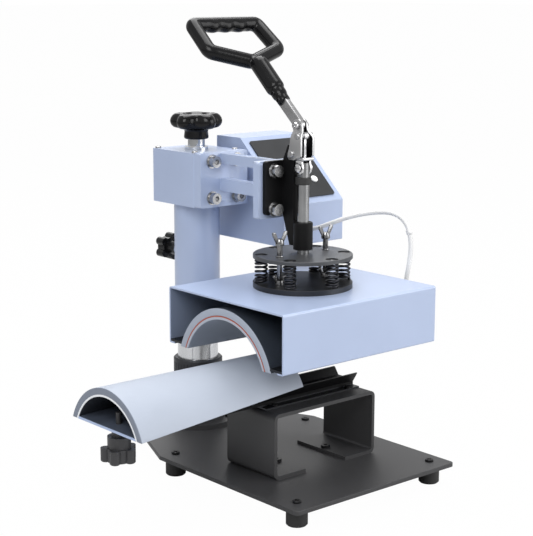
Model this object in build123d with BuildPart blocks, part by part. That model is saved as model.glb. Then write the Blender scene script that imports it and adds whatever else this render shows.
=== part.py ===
from build123d import *
from math import atan2, cos, hypot, pi, radians, sin, sqrt, tan
import os

os.makedirs("parts", exist_ok=True)

# Shin guard heat press. Millimetres, +Z up, +X to the user's right, +Y away from the user.
# The origin is on the floor, under the middle of the four rubber feet.

# Clearances
RUN = 0.1  # radial running clearance of a turning or sliding fit
AIR = 0.3  # air left between two faces that pass each other
EMBED = 0.6  # how far a welded rib reaches into its plate inside one piece

# Feet and base plate
FOOT_X = 100.0
FOOT_Y = 103.0
FOOT_D = 23.0
FOOT_H = 19.5
FOOT_BORE_D = 12.0
FOOT_BORE_H = 9.0
PLATE_T = 4.5
PLATE_HALF_X = 119.0
PLATE_FRONT_Y = 124.0
PLATE_SHOULDER_Y = 108.0
TONGUE_HALF_X = 67.0
TONGUE_END_Y = 228.0
PLATE_CORNER_R = 5.0
PLATE_TOP = FOOT_H + PLATE_T
SCREW_M5_D = 5.0
SCREW_M5_HEAD_D = 9.5
SCREW_M5_HEAD_H = 2.6

# Drawer stand, a bent strip
STAND_HALF_X = 75.5
STAND_HALF_Y = 40.0
STAND_T = 4.0
STAND_H = 73.4
STAND_TOP = PLATE_TOP + STAND_H
STAND_FLANGE_W = 45.5
STAND_FLANGE_IN = STAND_HALF_X - STAND_FLANGE_W
STAND_BEND_R = 7.0
STAND_SCREW_X = STAND_FLANGE_IN + 7.0

# Drawer slide
RAIL_HALF_X = 70.0
RAIL_HALF_Y = 10.0
RAIL_FLANGE_HALF_Y = 20.0
RAIL_FLANGE_T = 1.6
RAIL_H = 6.6
RAIL_TOP = STAND_TOP + RAIL_H
RAIL_SCREW_X = 55.0
RAIL_SCREW_Y = 16.2
TRAY_LEFT = -190.0
TRAY_RIGHT = 67.5
TRAY_T = 2.2
TRAY_BOTTOM = RAIL_TOP + AIR
TRAY_HALF_BOTTOM = 13.0
TRAY_HALF_LIP = 19.6
TRAY_H = 10.7
TRAY_LIP_TOP = TRAY_BOTTOM + TRAY_H
TRAY_RUNNER_T = 1.6
TRAY_RUNNER_DROP = 4.0

# Lower platen: level ridge, rising feet
PLATEN_LEFT = -264.5
PLATEN_RIGHT = -39.5
PLATEN_H = 42.0
LEFT_FOOT_RISE = 7.1
LEFT_FOOT_Z = TRAY_BOTTOM + LEFT_FOOT_RISE
RIDGE_Z = LEFT_FOOT_Z + PLATEN_H
PAD_T = 7.0
SHELL_T = 2.0
LEFT_R = 64.1
RIGHT_R = 50.4
RIGHT_FOOT_RISE = 12.6
RIGHT_FOOT_Z = LEFT_FOOT_Z + RIGHT_FOOT_RISE
FLOOR_T = 2.5

# Press housing and heating arch
SWING_AIR = 5.2  # the raised housing swings over the platen's ridge
HOUSING_HALF_X = 112.5
HOUSING_HALF_Y = 94.8
HOUSING_LOW = RIDGE_Z + SWING_AIR
SHEET = 1.8
HOUSING_LIP = 9.0
ARCH_LEFT_R = 67.0
ARCH_RIGHT_R = 54.0
ARCH_RISE = 41.4
ARCH_RIDGE = HOUSING_LOW + ARCH_RISE
ARCH_FOOT_DROP = 1.0
ARCH_FOOT_Z = HOUSING_LOW - ARCH_FOOT_DROP
LINER_T = 3.0
HEATER_T = 1.2
COVER_T = 8.0
ARCH_TOP_AIR = 8.0
HOUSING_TOP = ARCH_RIDGE + LINER_T + HEATER_T + COVER_T + ARCH_TOP_AIR + SHEET
ARCH_RIGHT_AIR = 4.7
ARCH_RIGHT_X = HOUSING_HALF_X - SHEET - ARCH_RIGHT_AIR

# Press discs, springs and wing bolts
DISC_D = 110.0
LOWER_DISC_T = 6.0
SPRING_H = 26.8
UPPER_DISC_T = 4.0
LOWER_DISC_TOP = HOUSING_TOP + LOWER_DISC_T
UPPER_DISC_LOW = LOWER_DISC_TOP + SPRING_H
UPPER_DISC_TOP = UPPER_DISC_LOW + UPPER_DISC_T
SPRING_RING_R = 46.5
SPRING_MEAN_D = 12.6
WIRE_D = 2.6
SPRING_TURNS = 5
RECESS_D = 14.0
RECESS_H = 1.2
WING_X = 34.0
WING_SHAFT_D = 6.0
WING_RISE = 15.2
WING_HOLE_DEEP = 5.0
WING_Z = UPPER_DISC_TOP + WING_RISE

# Plunger and its guide
PLUNGER_D = 13.0
SLEEVE_D = 21.5
SLEEVE_L = 30.1
SLEEVE_AIR = 4.8  # above the raised upper disc
SLEEVE_LOW = UPPER_DISC_TOP + SLEEVE_AIR
SLEEVE_TOP = SLEEVE_LOW + SLEEVE_L
STOP_D = 17.5
STOP_H = 8.0
STROKE_ROOM = 41.3
STOP_LOW = SLEEVE_TOP + STROKE_ROOM
PLUNGER_FLAT_LOW = STOP_LOW + STOP_H
PLUNGER_FLAT_HALF_X = 5.0
PLUNGER_EYE_R = 6.0
PLUNGER_EYE_RISE = 10.0
PLUNGER_PIN_Z = PLUNGER_FLAT_LOW + PLUNGER_EYE_RISE

# Clamp bracket and arm
CLAMP_HALF_X = 30.0
CLAMP_Y = 28.0
CLAMP_T = 5.0
CLAMP_RISE = 6.3
CLAMP_H = 59.5
CLAMP_LOW = SLEEVE_TOP + CLAMP_RISE
CLAMP_TOP = CLAMP_LOW + CLAMP_H
WEB_HALF_X = 5.0
BOLT_X = 18.5
BOLT_EDGE = 6.5
BOLT_SPACING = 42.5
BOLT_LOW_Z = CLAMP_LOW + BOLT_EDGE
BOLT_HIGH_Z = BOLT_LOW_Z + BOLT_SPACING
FRONT_T = 9.0
REAR_T = 12.0
ARM_HALF_X = 36.0
ARM_DROP = 4.5
ARM_H = 63.5
ARM_LOW = CLAMP_LOW - ARM_DROP
ARM_TOP = ARM_LOW + ARM_H
WASHER_D = 16.0
WASHER_T = 1.6
BOLT_D = 8.0
BOLT_HEAD_D = 13.0
BOLT_HEAD_H = 8.0

# Head block, column and post
COLUMN_Y = 188.0
BLOCK_HALF_X = 35.0
BLOCK_HALF_Y = 40.0
BLOCK_FRONT = COLUMN_Y - BLOCK_HALF_Y
BLOCK_BACK = COLUMN_Y + BLOCK_HALF_Y
BLOCK_DROP = 0.5
BLOCK_H = 63.0
BLOCK_LOW = ARM_LOW - BLOCK_DROP
BLOCK_TOP = BLOCK_LOW + BLOCK_H
BLOCK_WALL = 5.0
COVER_PLATE_T = 3.0
TUBE_D = 54.3
POST_D = 48.7
POST_DEPTH = 36.0  # the post's end below the block's top
POST_TOP = BLOCK_TOP - POST_DEPTH
TUBE_IN_BLOCK = 50.0
TUBE_TOP = BLOCK_LOW + TUBE_IN_BLOCK
SOCKET_D = 64.0
SOCKET_H = 54.0
COLLAR_D = 59.0
COLLAR_H = 27.5
COLLAR_LOW = PLATE_TOP + SOCKET_H
COLLAR_TOP = COLLAR_LOW + COLLAR_H
POST_BARE_H = 22.5
TUBE_LOW = COLLAR_TOP + POST_BARE_H

# Pressure knob
KNOB_D = 65.0
KNOB_H = 15.0
KNOB_HUB_D = 33.5
KNOB_HUB_H = 15.0
KNOB_RISE = 12.0
KNOB_HUB_LOW = BLOCK_TOP + KNOB_RISE
KNOB_LOW = KNOB_HUB_LOW + KNOB_HUB_H
KNOB_HIGH = KNOB_LOW + KNOB_H
SPINDLE_D = 20.0
SPINDLE_IN_POST = 26.0

# Toggle lever: pivot, lever pin and link, in the YZ plane
LINK_L = 35.0
PIVOT_RISE = 15.0
PIVOT_Y = 9.0
PIVOT_Z = PLUNGER_PIN_Z + PIVOT_RISE
PIN_Z = PLUNGER_PIN_Z + LINK_L
LINK_AIR = 0.3
LINK_T = 3.0
LINK_IN = PLUNGER_FLAT_HALF_X + LINK_AIR
LINK_OUT = LINK_IN + LINK_T
FORK_AIR = 0.4
FORK_T = 3.0
FORK_IN = LINK_OUT + FORK_AIR
FORK_OUT = FORK_IN + FORK_T

# Handle
GRIP_REACH_Y = 81.0
GRIP_REACH_Z = 95.6
GRIP_Y = PIVOT_Y + GRIP_REACH_Y
GRIP_Z = PIVOT_Z + GRIP_REACH_Z
GRIP_DEG = 38.75
GRIP_T = 16.0

# Control box
BOX_GAP = 10.0
BOX_W = 94.0
BOX_LEFT = BLOCK_HALF_X + BOX_GAP
BOX_RIGHT = BOX_LEFT + BOX_W
BOX_FRONT = 82.0
BOX_TOP_Y = 161.0
BOX_BACK = 205.0
BOX_DROP = 47.0
BOX_KNEE_H = 49.0
BOX_H = 122.0
BOX_LOW = BLOCK_LOW - BOX_DROP
BOX_KNEE_Z = BOX_LOW + BOX_KNEE_H
BOX_TOP = BOX_LOW + BOX_H

# Heater lead
LEAD_D = 5.3


def save(builder, name):
    builder.part.label = name
    export_step(builder.part, f"parts/{name}.step")


# Base plate: a rectangle with a tongue behind it that narrows towards the column
plate_outline = [
    (-PLATE_HALF_X, -PLATE_FRONT_Y),
    (PLATE_HALF_X, -PLATE_FRONT_Y),
    (PLATE_HALF_X, PLATE_SHOULDER_Y),
    (TONGUE_HALF_X, TONGUE_END_Y),
    (-TONGUE_HALF_X, TONGUE_END_Y),
    (-PLATE_HALF_X, PLATE_SHOULDER_Y),
]
foot_spots = [(x, y) for x in (-FOOT_X, FOOT_X) for y in (-FOOT_Y, FOOT_Y)]
stand_spots = [(-STAND_SCREW_X, 0), (STAND_SCREW_X, 0)]
SOCKET_FLANGE_D = 88.0
SOCKET_FLANGE_T = 6.0
SOCKET_BOLT_R = 38.0
M6_D = 6.0
M6_HEAD_D = 10.5
M6_HEAD_H = 3.2

with BuildPart() as base_plate:
    with BuildSketch(Plane.XY.offset(FOOT_H)):
        Polygon(*plate_outline, align=None)
    extrude(amount=PLATE_T)
    fillet(base_plate.edges().filter_by(Axis.Z), PLATE_CORNER_R)
    with BuildSketch(Plane.XY.offset(FOOT_H)):
        with Locations(*foot_spots):
            Circle(SCREW_M5_D / 2)
        with Locations(*stand_spots):
            Circle(M6_D / 2)
        with Locations((0, COLUMN_Y)):
            with PolarLocations(SOCKET_BOLT_R, 4, start_angle=45):
                Circle(M6_D / 2)
    extrude(amount=PLATE_T, mode=Mode.SUBTRACT)
    chamfer(base_plate.faces().sort_by(Axis.Z)[-1].outer_wire().edges(), 0.6)
save(base_plate, "base_plate")

FOOT_TAPER = 1.5
SHANK_IN_FOOT = 8.0
with BuildPart() as rubber_feet:
    with BuildSketch(Plane.XY):
        with Locations(*foot_spots):
            Circle(FOOT_D / 2)
    extrude(amount=FOOT_H)
    chamfer(rubber_feet.edges().group_by(Axis.Z)[0], FOOT_TAPER)
    with BuildSketch(Plane.XY):
        with Locations(*foot_spots):
            Circle(FOOT_BORE_D / 2)
    extrude(amount=FOOT_BORE_H, mode=Mode.SUBTRACT)
    with BuildSketch(Plane.XY.offset(FOOT_H - SHANK_IN_FOOT)):
        with Locations(*foot_spots):
            Circle(SCREW_M5_D / 2)
    extrude(amount=SHANK_IN_FOOT, mode=Mode.SUBTRACT)
save(rubber_feet, "rubber_feet")

with BuildPart() as foot_screws:
    with BuildSketch(Plane.XY.offset(FOOT_H - SHANK_IN_FOOT)):
        with Locations(*foot_spots):
            Circle(SCREW_M5_D / 2)
    extrude(amount=SHANK_IN_FOOT + PLATE_T)
    with BuildSketch(Plane.XY.offset(PLATE_TOP)):
        with Locations(*foot_spots):
            Circle(SCREW_M5_HEAD_D / 2)
    extrude(amount=SCREW_M5_HEAD_H)
    chamfer(foot_screws.edges().filter_by(GeomType.CIRCLE).group_by(Axis.Z)[-1], 0.8)
    with BuildSketch(Plane.XY.offset(PLATE_TOP + SCREW_M5_HEAD_H - 1.2)):
        with Locations(*foot_spots):
            Rectangle(6.0, 1.2)
            Rectangle(1.2, 6.0)
    extrude(amount=1.2, mode=Mode.SUBTRACT)
save(foot_screws, "foot_screws")

# Drawer stand: an inverted U with its feet bent inward
stand_line = [
    (-STAND_FLANGE_IN, PLATE_TOP),
    (-STAND_HALF_X, PLATE_TOP),
    (-STAND_HALF_X, STAND_TOP),
    (STAND_HALF_X, STAND_TOP),
    (STAND_HALF_X, PLATE_TOP),
    (STAND_FLANGE_IN, PLATE_TOP),
    (STAND_FLANGE_IN, PLATE_TOP + STAND_T),
    (STAND_HALF_X - STAND_T, PLATE_TOP + STAND_T),
    (STAND_HALF_X - STAND_T, STAND_TOP - STAND_T),
    (-STAND_HALF_X + STAND_T, STAND_TOP - STAND_T),
    (-STAND_HALF_X + STAND_T, PLATE_TOP + STAND_T),
    (-STAND_FLANGE_IN, PLATE_TOP + STAND_T),
]
rail_spots = [(x, y) for x in (-RAIL_SCREW_X, RAIL_SCREW_X) for y in (-RAIL_SCREW_Y, RAIL_SCREW_Y)]
M4_D = 4.0
M4_HEAD_D = 7.0
M4_HEAD_H = 2.2

with BuildPart() as drawer_stand:
    with BuildSketch(Plane.XZ.offset(-STAND_HALF_Y)):
        Polygon(*stand_line, align=None)
    extrude(amount=2 * STAND_HALF_Y)
    outer_bends = [
        e
        for e in drawer_stand.edges().filter_by(Axis.Y)
        if abs(abs(e.center().X) - STAND_HALF_X) < 0.1
    ]
    fillet(outer_bends, STAND_BEND_R)
    inner_bends = [
        e
        for e in drawer_stand.edges().filter_by(Axis.Y)
        if abs(abs(e.center().X) - STAND_HALF_X + STAND_T) < 0.1
    ]
    fillet(inner_bends, STAND_BEND_R - STAND_T)
    with BuildSketch(Plane.XY.offset(PLATE_TOP)):
        with Locations(*stand_spots):
            Circle(M6_D / 2)
    extrude(amount=STAND_T, mode=Mode.SUBTRACT)
    with BuildSketch(Plane.XY.offset(STAND_TOP - STAND_T)):
        with Locations(*rail_spots):
            Circle(M4_D / 2)
    extrude(amount=STAND_T, mode=Mode.SUBTRACT)
save(drawer_stand, "drawer_stand")

# Bolts of the stand's feet and of the column socket
socket_spots = [
    (SOCKET_BOLT_R * cos(radians(45 + 90 * i)), COLUMN_Y + SOCKET_BOLT_R * sin(radians(45 + 90 * i)))
    for i in range(4)
]
with BuildPart() as base_bolts:
    for spots, seat in ((stand_spots, PLATE_TOP + STAND_T), (socket_spots, PLATE_TOP + SOCKET_FLANGE_T)):
        with BuildSketch(Plane.XY.offset(FOOT_H)):
            with Locations(*spots):
                Circle(M6_D / 2)
        extrude(amount=seat - FOOT_H)
        with BuildSketch(Plane.XY.offset(seat)):
            with Locations(*spots):
                Circle(M6_HEAD_D / 2)
        extrude(amount=M6_HEAD_H)
        with BuildSketch(Plane.XY.offset(seat + M6_HEAD_H - 1.8)):
            with Locations(*spots):
                RegularPolygon(2.0, 6)
        extrude(amount=1.8, mode=Mode.SUBTRACT)
save(base_bolts, "base_bolts")

with BuildPart() as guide_rail:
    with BuildSketch(Plane.XY.offset(STAND_TOP)):
        Rectangle(2 * RAIL_HALF_X, 2 * RAIL_FLANGE_HALF_Y)
    extrude(amount=RAIL_FLANGE_T)
    with BuildSketch(Plane.XY.offset(STAND_TOP)):
        Rectangle(2 * RAIL_HALF_X, 2 * RAIL_HALF_Y)
    extrude(amount=RAIL_H)
    with BuildSketch(Plane.XY.offset(STAND_TOP)):
        with Locations(*rail_spots):
            Circle(M4_D / 2)
    extrude(amount=RAIL_FLANGE_T, mode=Mode.SUBTRACT)
save(guide_rail, "guide_rail")

with BuildPart() as rail_screws:
    with BuildSketch(Plane.XY.offset(STAND_TOP - STAND_T)):
        with Locations(*rail_spots):
            Circle(M4_D / 2)
    extrude(amount=STAND_T + RAIL_FLANGE_T)
    with BuildSketch(Plane.XY.offset(STAND_TOP + RAIL_FLANGE_T)):
        with Locations(*rail_spots):
            Circle(M4_HEAD_D / 2)
    extrude(amount=M4_HEAD_H)
    with BuildSketch(Plane.XY.offset(STAND_TOP + RAIL_FLANGE_T + M4_HEAD_H - 1.0)):
        with Locations(*rail_spots):
            Rectangle(4.5, 1.0)
    extrude(amount=1.0, mode=Mode.SUBTRACT)
save(rail_screws, "rail_screws")

# Column socket, post and collar
with BuildPart() as column_socket:
    with BuildSketch(Plane.XY.offset(PLATE_TOP)):
        with Locations((0, COLUMN_Y)):
            Circle(SOCKET_FLANGE_D / 2)
        with Locations(*socket_spots):
            Circle(M6_D / 2, mode=Mode.SUBTRACT)
    extrude(amount=SOCKET_FLANGE_T)
    with BuildSketch(Plane.XY.offset(PLATE_TOP)):
        with Locations((0, COLUMN_Y)):
            Circle(SOCKET_D / 2)
    extrude(amount=COLLAR_LOW - PLATE_TOP)
    chamfer(column_socket.faces().sort_by(Axis.Z)[-1].edges(), 1.0)
    with BuildSketch(Plane.XY.offset(PLATE_TOP)):
        with Locations((0, COLUMN_Y)):
            Circle(POST_D / 2)
    extrude(amount=COLLAR_LOW - PLATE_TOP, mode=Mode.SUBTRACT)
save(column_socket, "column_socket")

GROOVE_W = 4.0
GROOVE_DEEP = 1.5
GROOVE_HIGH = 30.0
SPINDLE_BORE_D = 24.0
SPINDLE_LOW = POST_TOP - SPINDLE_IN_POST
BORE_UNDER = 10.0
with BuildPart() as swivel_post:
    with BuildSketch(Plane.XY.offset(PLATE_TOP)):
        with Locations((0, COLUMN_Y)):
            Circle(POST_D / 2)
    extrude(amount=POST_TOP - PLATE_TOP)
    with BuildSketch(Plane.XY.offset(COLLAR_TOP)):
        for turn in (-140, -95):
            with Locations((POST_D / 2 * cos(radians(turn)), COLUMN_Y + POST_D / 2 * sin(radians(turn)))):
                Rectangle(2 * GROOVE_DEEP, GROOVE_W, rotation=turn)
    extrude(amount=GROOVE_HIGH, mode=Mode.SUBTRACT)
    with BuildSketch(Plane.XY.offset(SPINDLE_LOW - BORE_UNDER)):
        with Locations((0, COLUMN_Y)):
            Circle(SPINDLE_BORE_D / 2)
    extrude(amount=POST_TOP - SPINDLE_LOW + BORE_UNDER, mode=Mode.SUBTRACT)
save(swivel_post, "swivel_post")

KNURLS = 40
KNURL_D = 2.4
with BuildPart() as knurled_collar:
    with BuildSketch(Plane.XY.offset(COLLAR_LOW)):
        with Locations((0, COLUMN_Y)):
            Circle(COLLAR_D / 2)
            Circle(POST_D / 2, mode=Mode.SUBTRACT)
    extrude(amount=COLLAR_TOP - COLLAR_LOW)
    chamfer(knurled_collar.faces().sort_by(Axis.Z)[-1].outer_wire().edges(), 1.5)
    with BuildSketch(Plane.XY.offset(COLLAR_LOW + 4)):
        with Locations((0, COLUMN_Y)):
            with PolarLocations(COLLAR_D / 2 + 0.4, KNURLS):
                Circle(KNURL_D / 2)
    extrude(amount=COLLAR_TOP - COLLAR_LOW - 9, mode=Mode.SUBTRACT)
save(knurled_collar, "knurled_collar")

# Thrust nut on the post's top: it turns with the arm, and the spindle lifts the arm on it
NUT_H = 12.0
TUBE_BORE_D = POST_D + 2 * RUN
with BuildPart() as thrust_nut:
    with BuildSketch(Plane.XY.offset(POST_TOP + RUN / 2)):
        with Locations((0, COLUMN_Y)):
            Circle(TUBE_BORE_D / 2 - RUN)
            Circle(SPINDLE_D / 2 + RUN, mode=Mode.SUBTRACT)
    extrude(amount=NUT_H)
save(thrust_nut, "thrust_nut")

# Column tube with the boss of its clamp screw
CLAMP_SCREW_DROP = 62.0
CLAMP_SCREW_Z = BLOCK_LOW - CLAMP_SCREW_DROP
CLAMP_SCREW_D = 8.0
BOSS_D = 18.0
BOSS_L = 7.0
BOSS_END_Y = COLUMN_Y + TUBE_D / 2 + BOSS_L
with BuildPart() as column_tube:
    with BuildSketch(Plane.XY.offset(TUBE_LOW)):
        with Locations((0, COLUMN_Y)):
            Circle(TUBE_D / 2)
    extrude(amount=TUBE_TOP - TUBE_LOW)
    with BuildSketch(Plane.XZ.offset(-BOSS_END_Y)):
        with Locations((0, CLAMP_SCREW_Z)):
            Circle(BOSS_D / 2)
    extrude(amount=BOSS_END_Y - COLUMN_Y)
    with BuildSketch(Plane.XY.offset(TUBE_LOW)):
        with Locations((0, COLUMN_Y)):
            Circle(TUBE_BORE_D / 2)
    extrude(amount=TUBE_TOP - TUBE_LOW, mode=Mode.SUBTRACT)
    with BuildSketch(Plane.XZ.offset(-BOSS_END_Y)):
        with Locations((0, CLAMP_SCREW_Z)):
            Circle(CLAMP_SCREW_D / 2 + RUN)
    extrude(amount=BOSS_END_Y - COLUMN_Y, mode=Mode.SUBTRACT)
save(column_tube, "column_tube")

# Star knob: a hub and a lobed wheel, drawn once and placed twice
STAR_LOBES = 5
CLAMP_STAR_R = 12.0
CLAMP_LOBE_R = 5.0
CLAMP_NECK_L = 15.85
CLAMP_STAR_Y = BOSS_END_Y + CLAMP_NECK_L
CLAMP_STAR_T = 14.0
CLAMP_NECK_D = 18.0
with BuildPart() as clamp_knob:
    with BuildSketch(Plane.XZ.offset(-(COLUMN_Y + POST_D / 2 + AIR))):
        with Locations((0, CLAMP_SCREW_Z)):
            Circle(CLAMP_SCREW_D / 2)
    extrude(amount=-(CLAMP_STAR_Y - COLUMN_Y - POST_D / 2 - AIR))
    with BuildSketch(Plane.XZ.offset(-(BOSS_END_Y + AIR))):
        with Locations((0, CLAMP_SCREW_Z)):
            Circle(CLAMP_NECK_D / 2)
    extrude(amount=-(CLAMP_STAR_Y - BOSS_END_Y - AIR))
    with BuildSketch(Plane.XZ.offset(-CLAMP_STAR_Y)):
        with Locations((0, CLAMP_SCREW_Z)):
            Circle(CLAMP_STAR_R)
            with PolarLocations(CLAMP_STAR_R, STAR_LOBES):
                Circle(CLAMP_LOBE_R)
    extrude(amount=-CLAMP_STAR_T)
    chamfer(clamp_knob.faces().sort_by(Axis.Y)[-1].edges(), 1.2)
save(clamp_knob, "clamp_knob")

# Head block: a box round the tube, with a cover plate let into its top
block_mid_y = (BLOCK_FRONT + BLOCK_BACK) / 2
block_len = BLOCK_BACK - BLOCK_FRONT
COVER_LOW = BLOCK_TOP - COVER_PLATE_T
with BuildPart() as head_block:
    with BuildSketch(Plane.XY.offset(BLOCK_LOW)):
        with Locations((0, block_mid_y)):
            Rectangle(2 * BLOCK_HALF_X, block_len)
    extrude(amount=COVER_LOW - BLOCK_LOW)
    fillet(head_block.edges().filter_by(Axis.Z), 2.0)
    with BuildSketch(Plane.XY.offset(BLOCK_LOW + BLOCK_WALL)):
        with Locations((0, block_mid_y)):
            Rectangle(2 * (BLOCK_HALF_X - BLOCK_WALL), block_len - 2 * BLOCK_WALL)
    extrude(amount=COVER_LOW - BLOCK_LOW, mode=Mode.SUBTRACT)
    with BuildSketch(Plane.XY.offset(BLOCK_LOW)):
        with Locations((0, COLUMN_Y)):
            Circle(TUBE_D / 2)
    extrude(amount=BLOCK_WALL, mode=Mode.SUBTRACT)
    with BuildSketch(Plane.XZ.offset(-BLOCK_FRONT)):
        with Locations(*[(x, z) for x in (-BOLT_X, BOLT_X) for z in (BOLT_LOW_Z, BOLT_HIGH_Z)]):
            Circle(BOLT_D / 2)
    extrude(amount=-BLOCK_WALL, mode=Mode.SUBTRACT)
save(head_block, "head_block")

COVER_EDGE = 5.0
cover_half = (BLOCK_HALF_X - COVER_EDGE, BLOCK_HALF_Y - COVER_EDGE)
cover_spots = [(x * cover_half[0], block_mid_y + y * cover_half[1]) for x in (-1, 1) for y in (-1, 1)]
with BuildPart() as block_cover:
    with BuildSketch(Plane.XY.offset(COVER_LOW)):
        with Locations((0, block_mid_y)):
            RectangleRounded(2 * BLOCK_HALF_X, block_len, 2.0)
        with Locations((0, COLUMN_Y)):
            Circle(SPINDLE_D / 2 + RUN, mode=Mode.SUBTRACT)
    extrude(amount=COVER_PLATE_T)
save(block_cover, "block_cover")

# Arm: rear flange, two-bar web, front flange
WEB_T = 6.0
BAR_HIGH = ARM_TOP - 1.5
BAR_MID = ARM_TOP - 13.0
BAR_LOW = ARM_LOW + 18.5
BAR_LOW_TOP = BAR_LOW + 14.3
WINDOW_L = 60.0
FRONT_FLANGE_Y = CLAMP_Y + CLAMP_T
REAR_FLANGE_Y = BLOCK_FRONT - REAR_T
arm_bolt_spots = [(x, z) for x in (-BOLT_X, BOLT_X) for z in (BOLT_LOW_Z, BOLT_HIGH_Z)]
with BuildPart() as arm_frame:
    with BuildSketch(Plane.XZ.offset(-REAR_FLANGE_Y)):
        with Locations((0, (ARM_LOW + ARM_TOP) / 2)):
            RectangleRounded(2 * BLOCK_HALF_X, ARM_TOP - ARM_LOW, 2.0)
        with Locations(*arm_bolt_spots):
            Circle(BOLT_D / 2, mode=Mode.SUBTRACT)
    extrude(amount=-REAR_T)
    with BuildSketch(Plane.XZ.offset(-FRONT_FLANGE_Y)):
        with Locations((0, (ARM_LOW + ARM_TOP) / 2)):
            RectangleRounded(2 * ARM_HALF_X, ARM_TOP - ARM_LOW, 3.0)
        with Locations(*arm_bolt_spots):
            Circle(BOLT_D / 2, mode=Mode.SUBTRACT)
    extrude(amount=-FRONT_T)
    with BuildSketch(Plane.YZ.offset(-WEB_T)):
        with Locations(((FRONT_FLANGE_Y + FRONT_T + REAR_FLANGE_Y) / 2, (BAR_LOW + BAR_HIGH) / 2)):
            Rectangle(REAR_FLANGE_Y - FRONT_FLANGE_Y - FRONT_T + 2 * EMBED, BAR_HIGH - BAR_LOW)
        with Locations(((FRONT_FLANGE_Y + FRONT_T + REAR_FLANGE_Y) / 2, (BAR_LOW_TOP + BAR_MID) / 2)):
            RectangleRounded(WINDOW_L, BAR_MID - BAR_LOW_TOP, 3.0, mode=Mode.SUBTRACT)
    extrude(amount=2 * WEB_T)
save(arm_frame, "arm_frame")

# Clamp bracket: flange, web with the pivot boss; the guide sleeve is welded into it
pivot = (PIVOT_Y, PIVOT_Z)
PIVOT_D = 8.0
PIVOT_BOSS_R = 9.0
WEB_FRONT = 10.5
with BuildPart() as clamp_bracket:
    with BuildSketch(Plane.XZ.offset(-CLAMP_Y)):
        with Locations((0, (CLAMP_LOW + CLAMP_TOP) / 2)):
            RectangleRounded(2 * CLAMP_HALF_X, CLAMP_TOP - CLAMP_LOW, 4.0)
        with Locations(*arm_bolt_spots):
            Circle(BOLT_D / 2, mode=Mode.SUBTRACT)
    extrude(amount=-CLAMP_T)
    with BuildSketch(Plane.YZ.offset(-WEB_HALF_X)):
        Polygon(
            (WEB_FRONT, PIVOT_Z),
            (WEB_FRONT, SLEEVE_TOP + 1),
            (0, SLEEVE_TOP - 1),
            (0, SLEEVE_LOW + 3),
            (17, SLEEVE_LOW + 3),
            (CLAMP_Y + EMBED, CLAMP_LOW + 1),
            (CLAMP_Y + EMBED, CLAMP_TOP - 1),
            (20, PIVOT_Z + PIVOT_BOSS_R),
            (PIVOT_Y, PIVOT_Z + PIVOT_BOSS_R),
            align=None,
        )
        with Locations(pivot):
            Circle(PIVOT_BOSS_R)
            Circle(PIVOT_D / 2, mode=Mode.SUBTRACT)
    extrude(amount=2 * WEB_HALF_X)
    with BuildSketch(Plane.XY.offset(SLEEVE_LOW - 5)):
        Circle(SLEEVE_D / 2)
    extrude(amount=SLEEVE_TOP - SLEEVE_LOW + 10, mode=Mode.SUBTRACT)
save(clamp_bracket, "clamp_bracket")

with BuildPart() as guide_sleeve:
    with BuildSketch(Plane.XY.offset(SLEEVE_LOW)):
        Circle(SLEEVE_D / 2)
        Circle(PLUNGER_D / 2 + RUN, mode=Mode.SUBTRACT)
    extrude(amount=SLEEVE_TOP - SLEEVE_LOW)
    chamfer(guide_sleeve.faces().sort_by(Axis.Z)[-1].outer_wire().edges(), 1.0)
save(guide_sleeve, "guide_sleeve")

# Bolts and washers of the arm's two joints; heads on the far side from the block and the clamp
arm_seats = ((REAR_FLANGE_Y, BLOCK_FRONT + BLOCK_WALL), (CLAMP_Y, FRONT_FLANGE_Y + FRONT_T))
with BuildPart() as arm_washers:
    for seat_y, end_y in arm_seats:
        with BuildSketch(Plane.XZ.offset(-seat_y)):
            with Locations(*arm_bolt_spots):
                Circle(WASHER_D / 2)
                Circle(BOLT_D / 2, mode=Mode.SUBTRACT)
        extrude(amount=WASHER_T)
save(arm_washers, "arm_washers")

with BuildPart() as arm_bolts:
    for seat_y, end_y in arm_seats:
        head_y = seat_y - WASHER_T
        with BuildSketch(Plane.XZ.offset(-end_y)):
            with Locations(*arm_bolt_spots):
                Circle(BOLT_D / 2)
        extrude(amount=end_y - head_y)
        with BuildSketch(Plane.XZ.offset(-head_y)):
            with Locations(*arm_bolt_spots):
                Circle(BOLT_HEAD_D / 2)
        extrude(amount=BOLT_HEAD_H)
        with BuildSketch(Plane.XZ.offset(-(head_y - BOLT_HEAD_H + 4))):
            with Locations(*arm_bolt_spots):
                RegularPolygon(3.4, 6)
        extrude(amount=4, mode=Mode.SUBTRACT)
save(arm_bolts, "arm_bolts")

PIVOT_CAP_D = 12.0
PIVOT_CAP_T = 1.8
with BuildPart() as pivot_pin:
    with BuildSketch(Plane.YZ.offset(-FORK_OUT - RUN)):
        with Locations(pivot):
            Circle(PIVOT_D / 2)
    extrude(amount=2 * (FORK_OUT + RUN))
    for side in (-1, 1):
        with BuildSketch(Plane.YZ.offset(side * (FORK_OUT + RUN))):
            with Locations(pivot):
                Circle(PIVOT_CAP_D / 2)
        extrude(amount=side * PIVOT_CAP_T)
save(pivot_pin, "pivot_pin")

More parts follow.
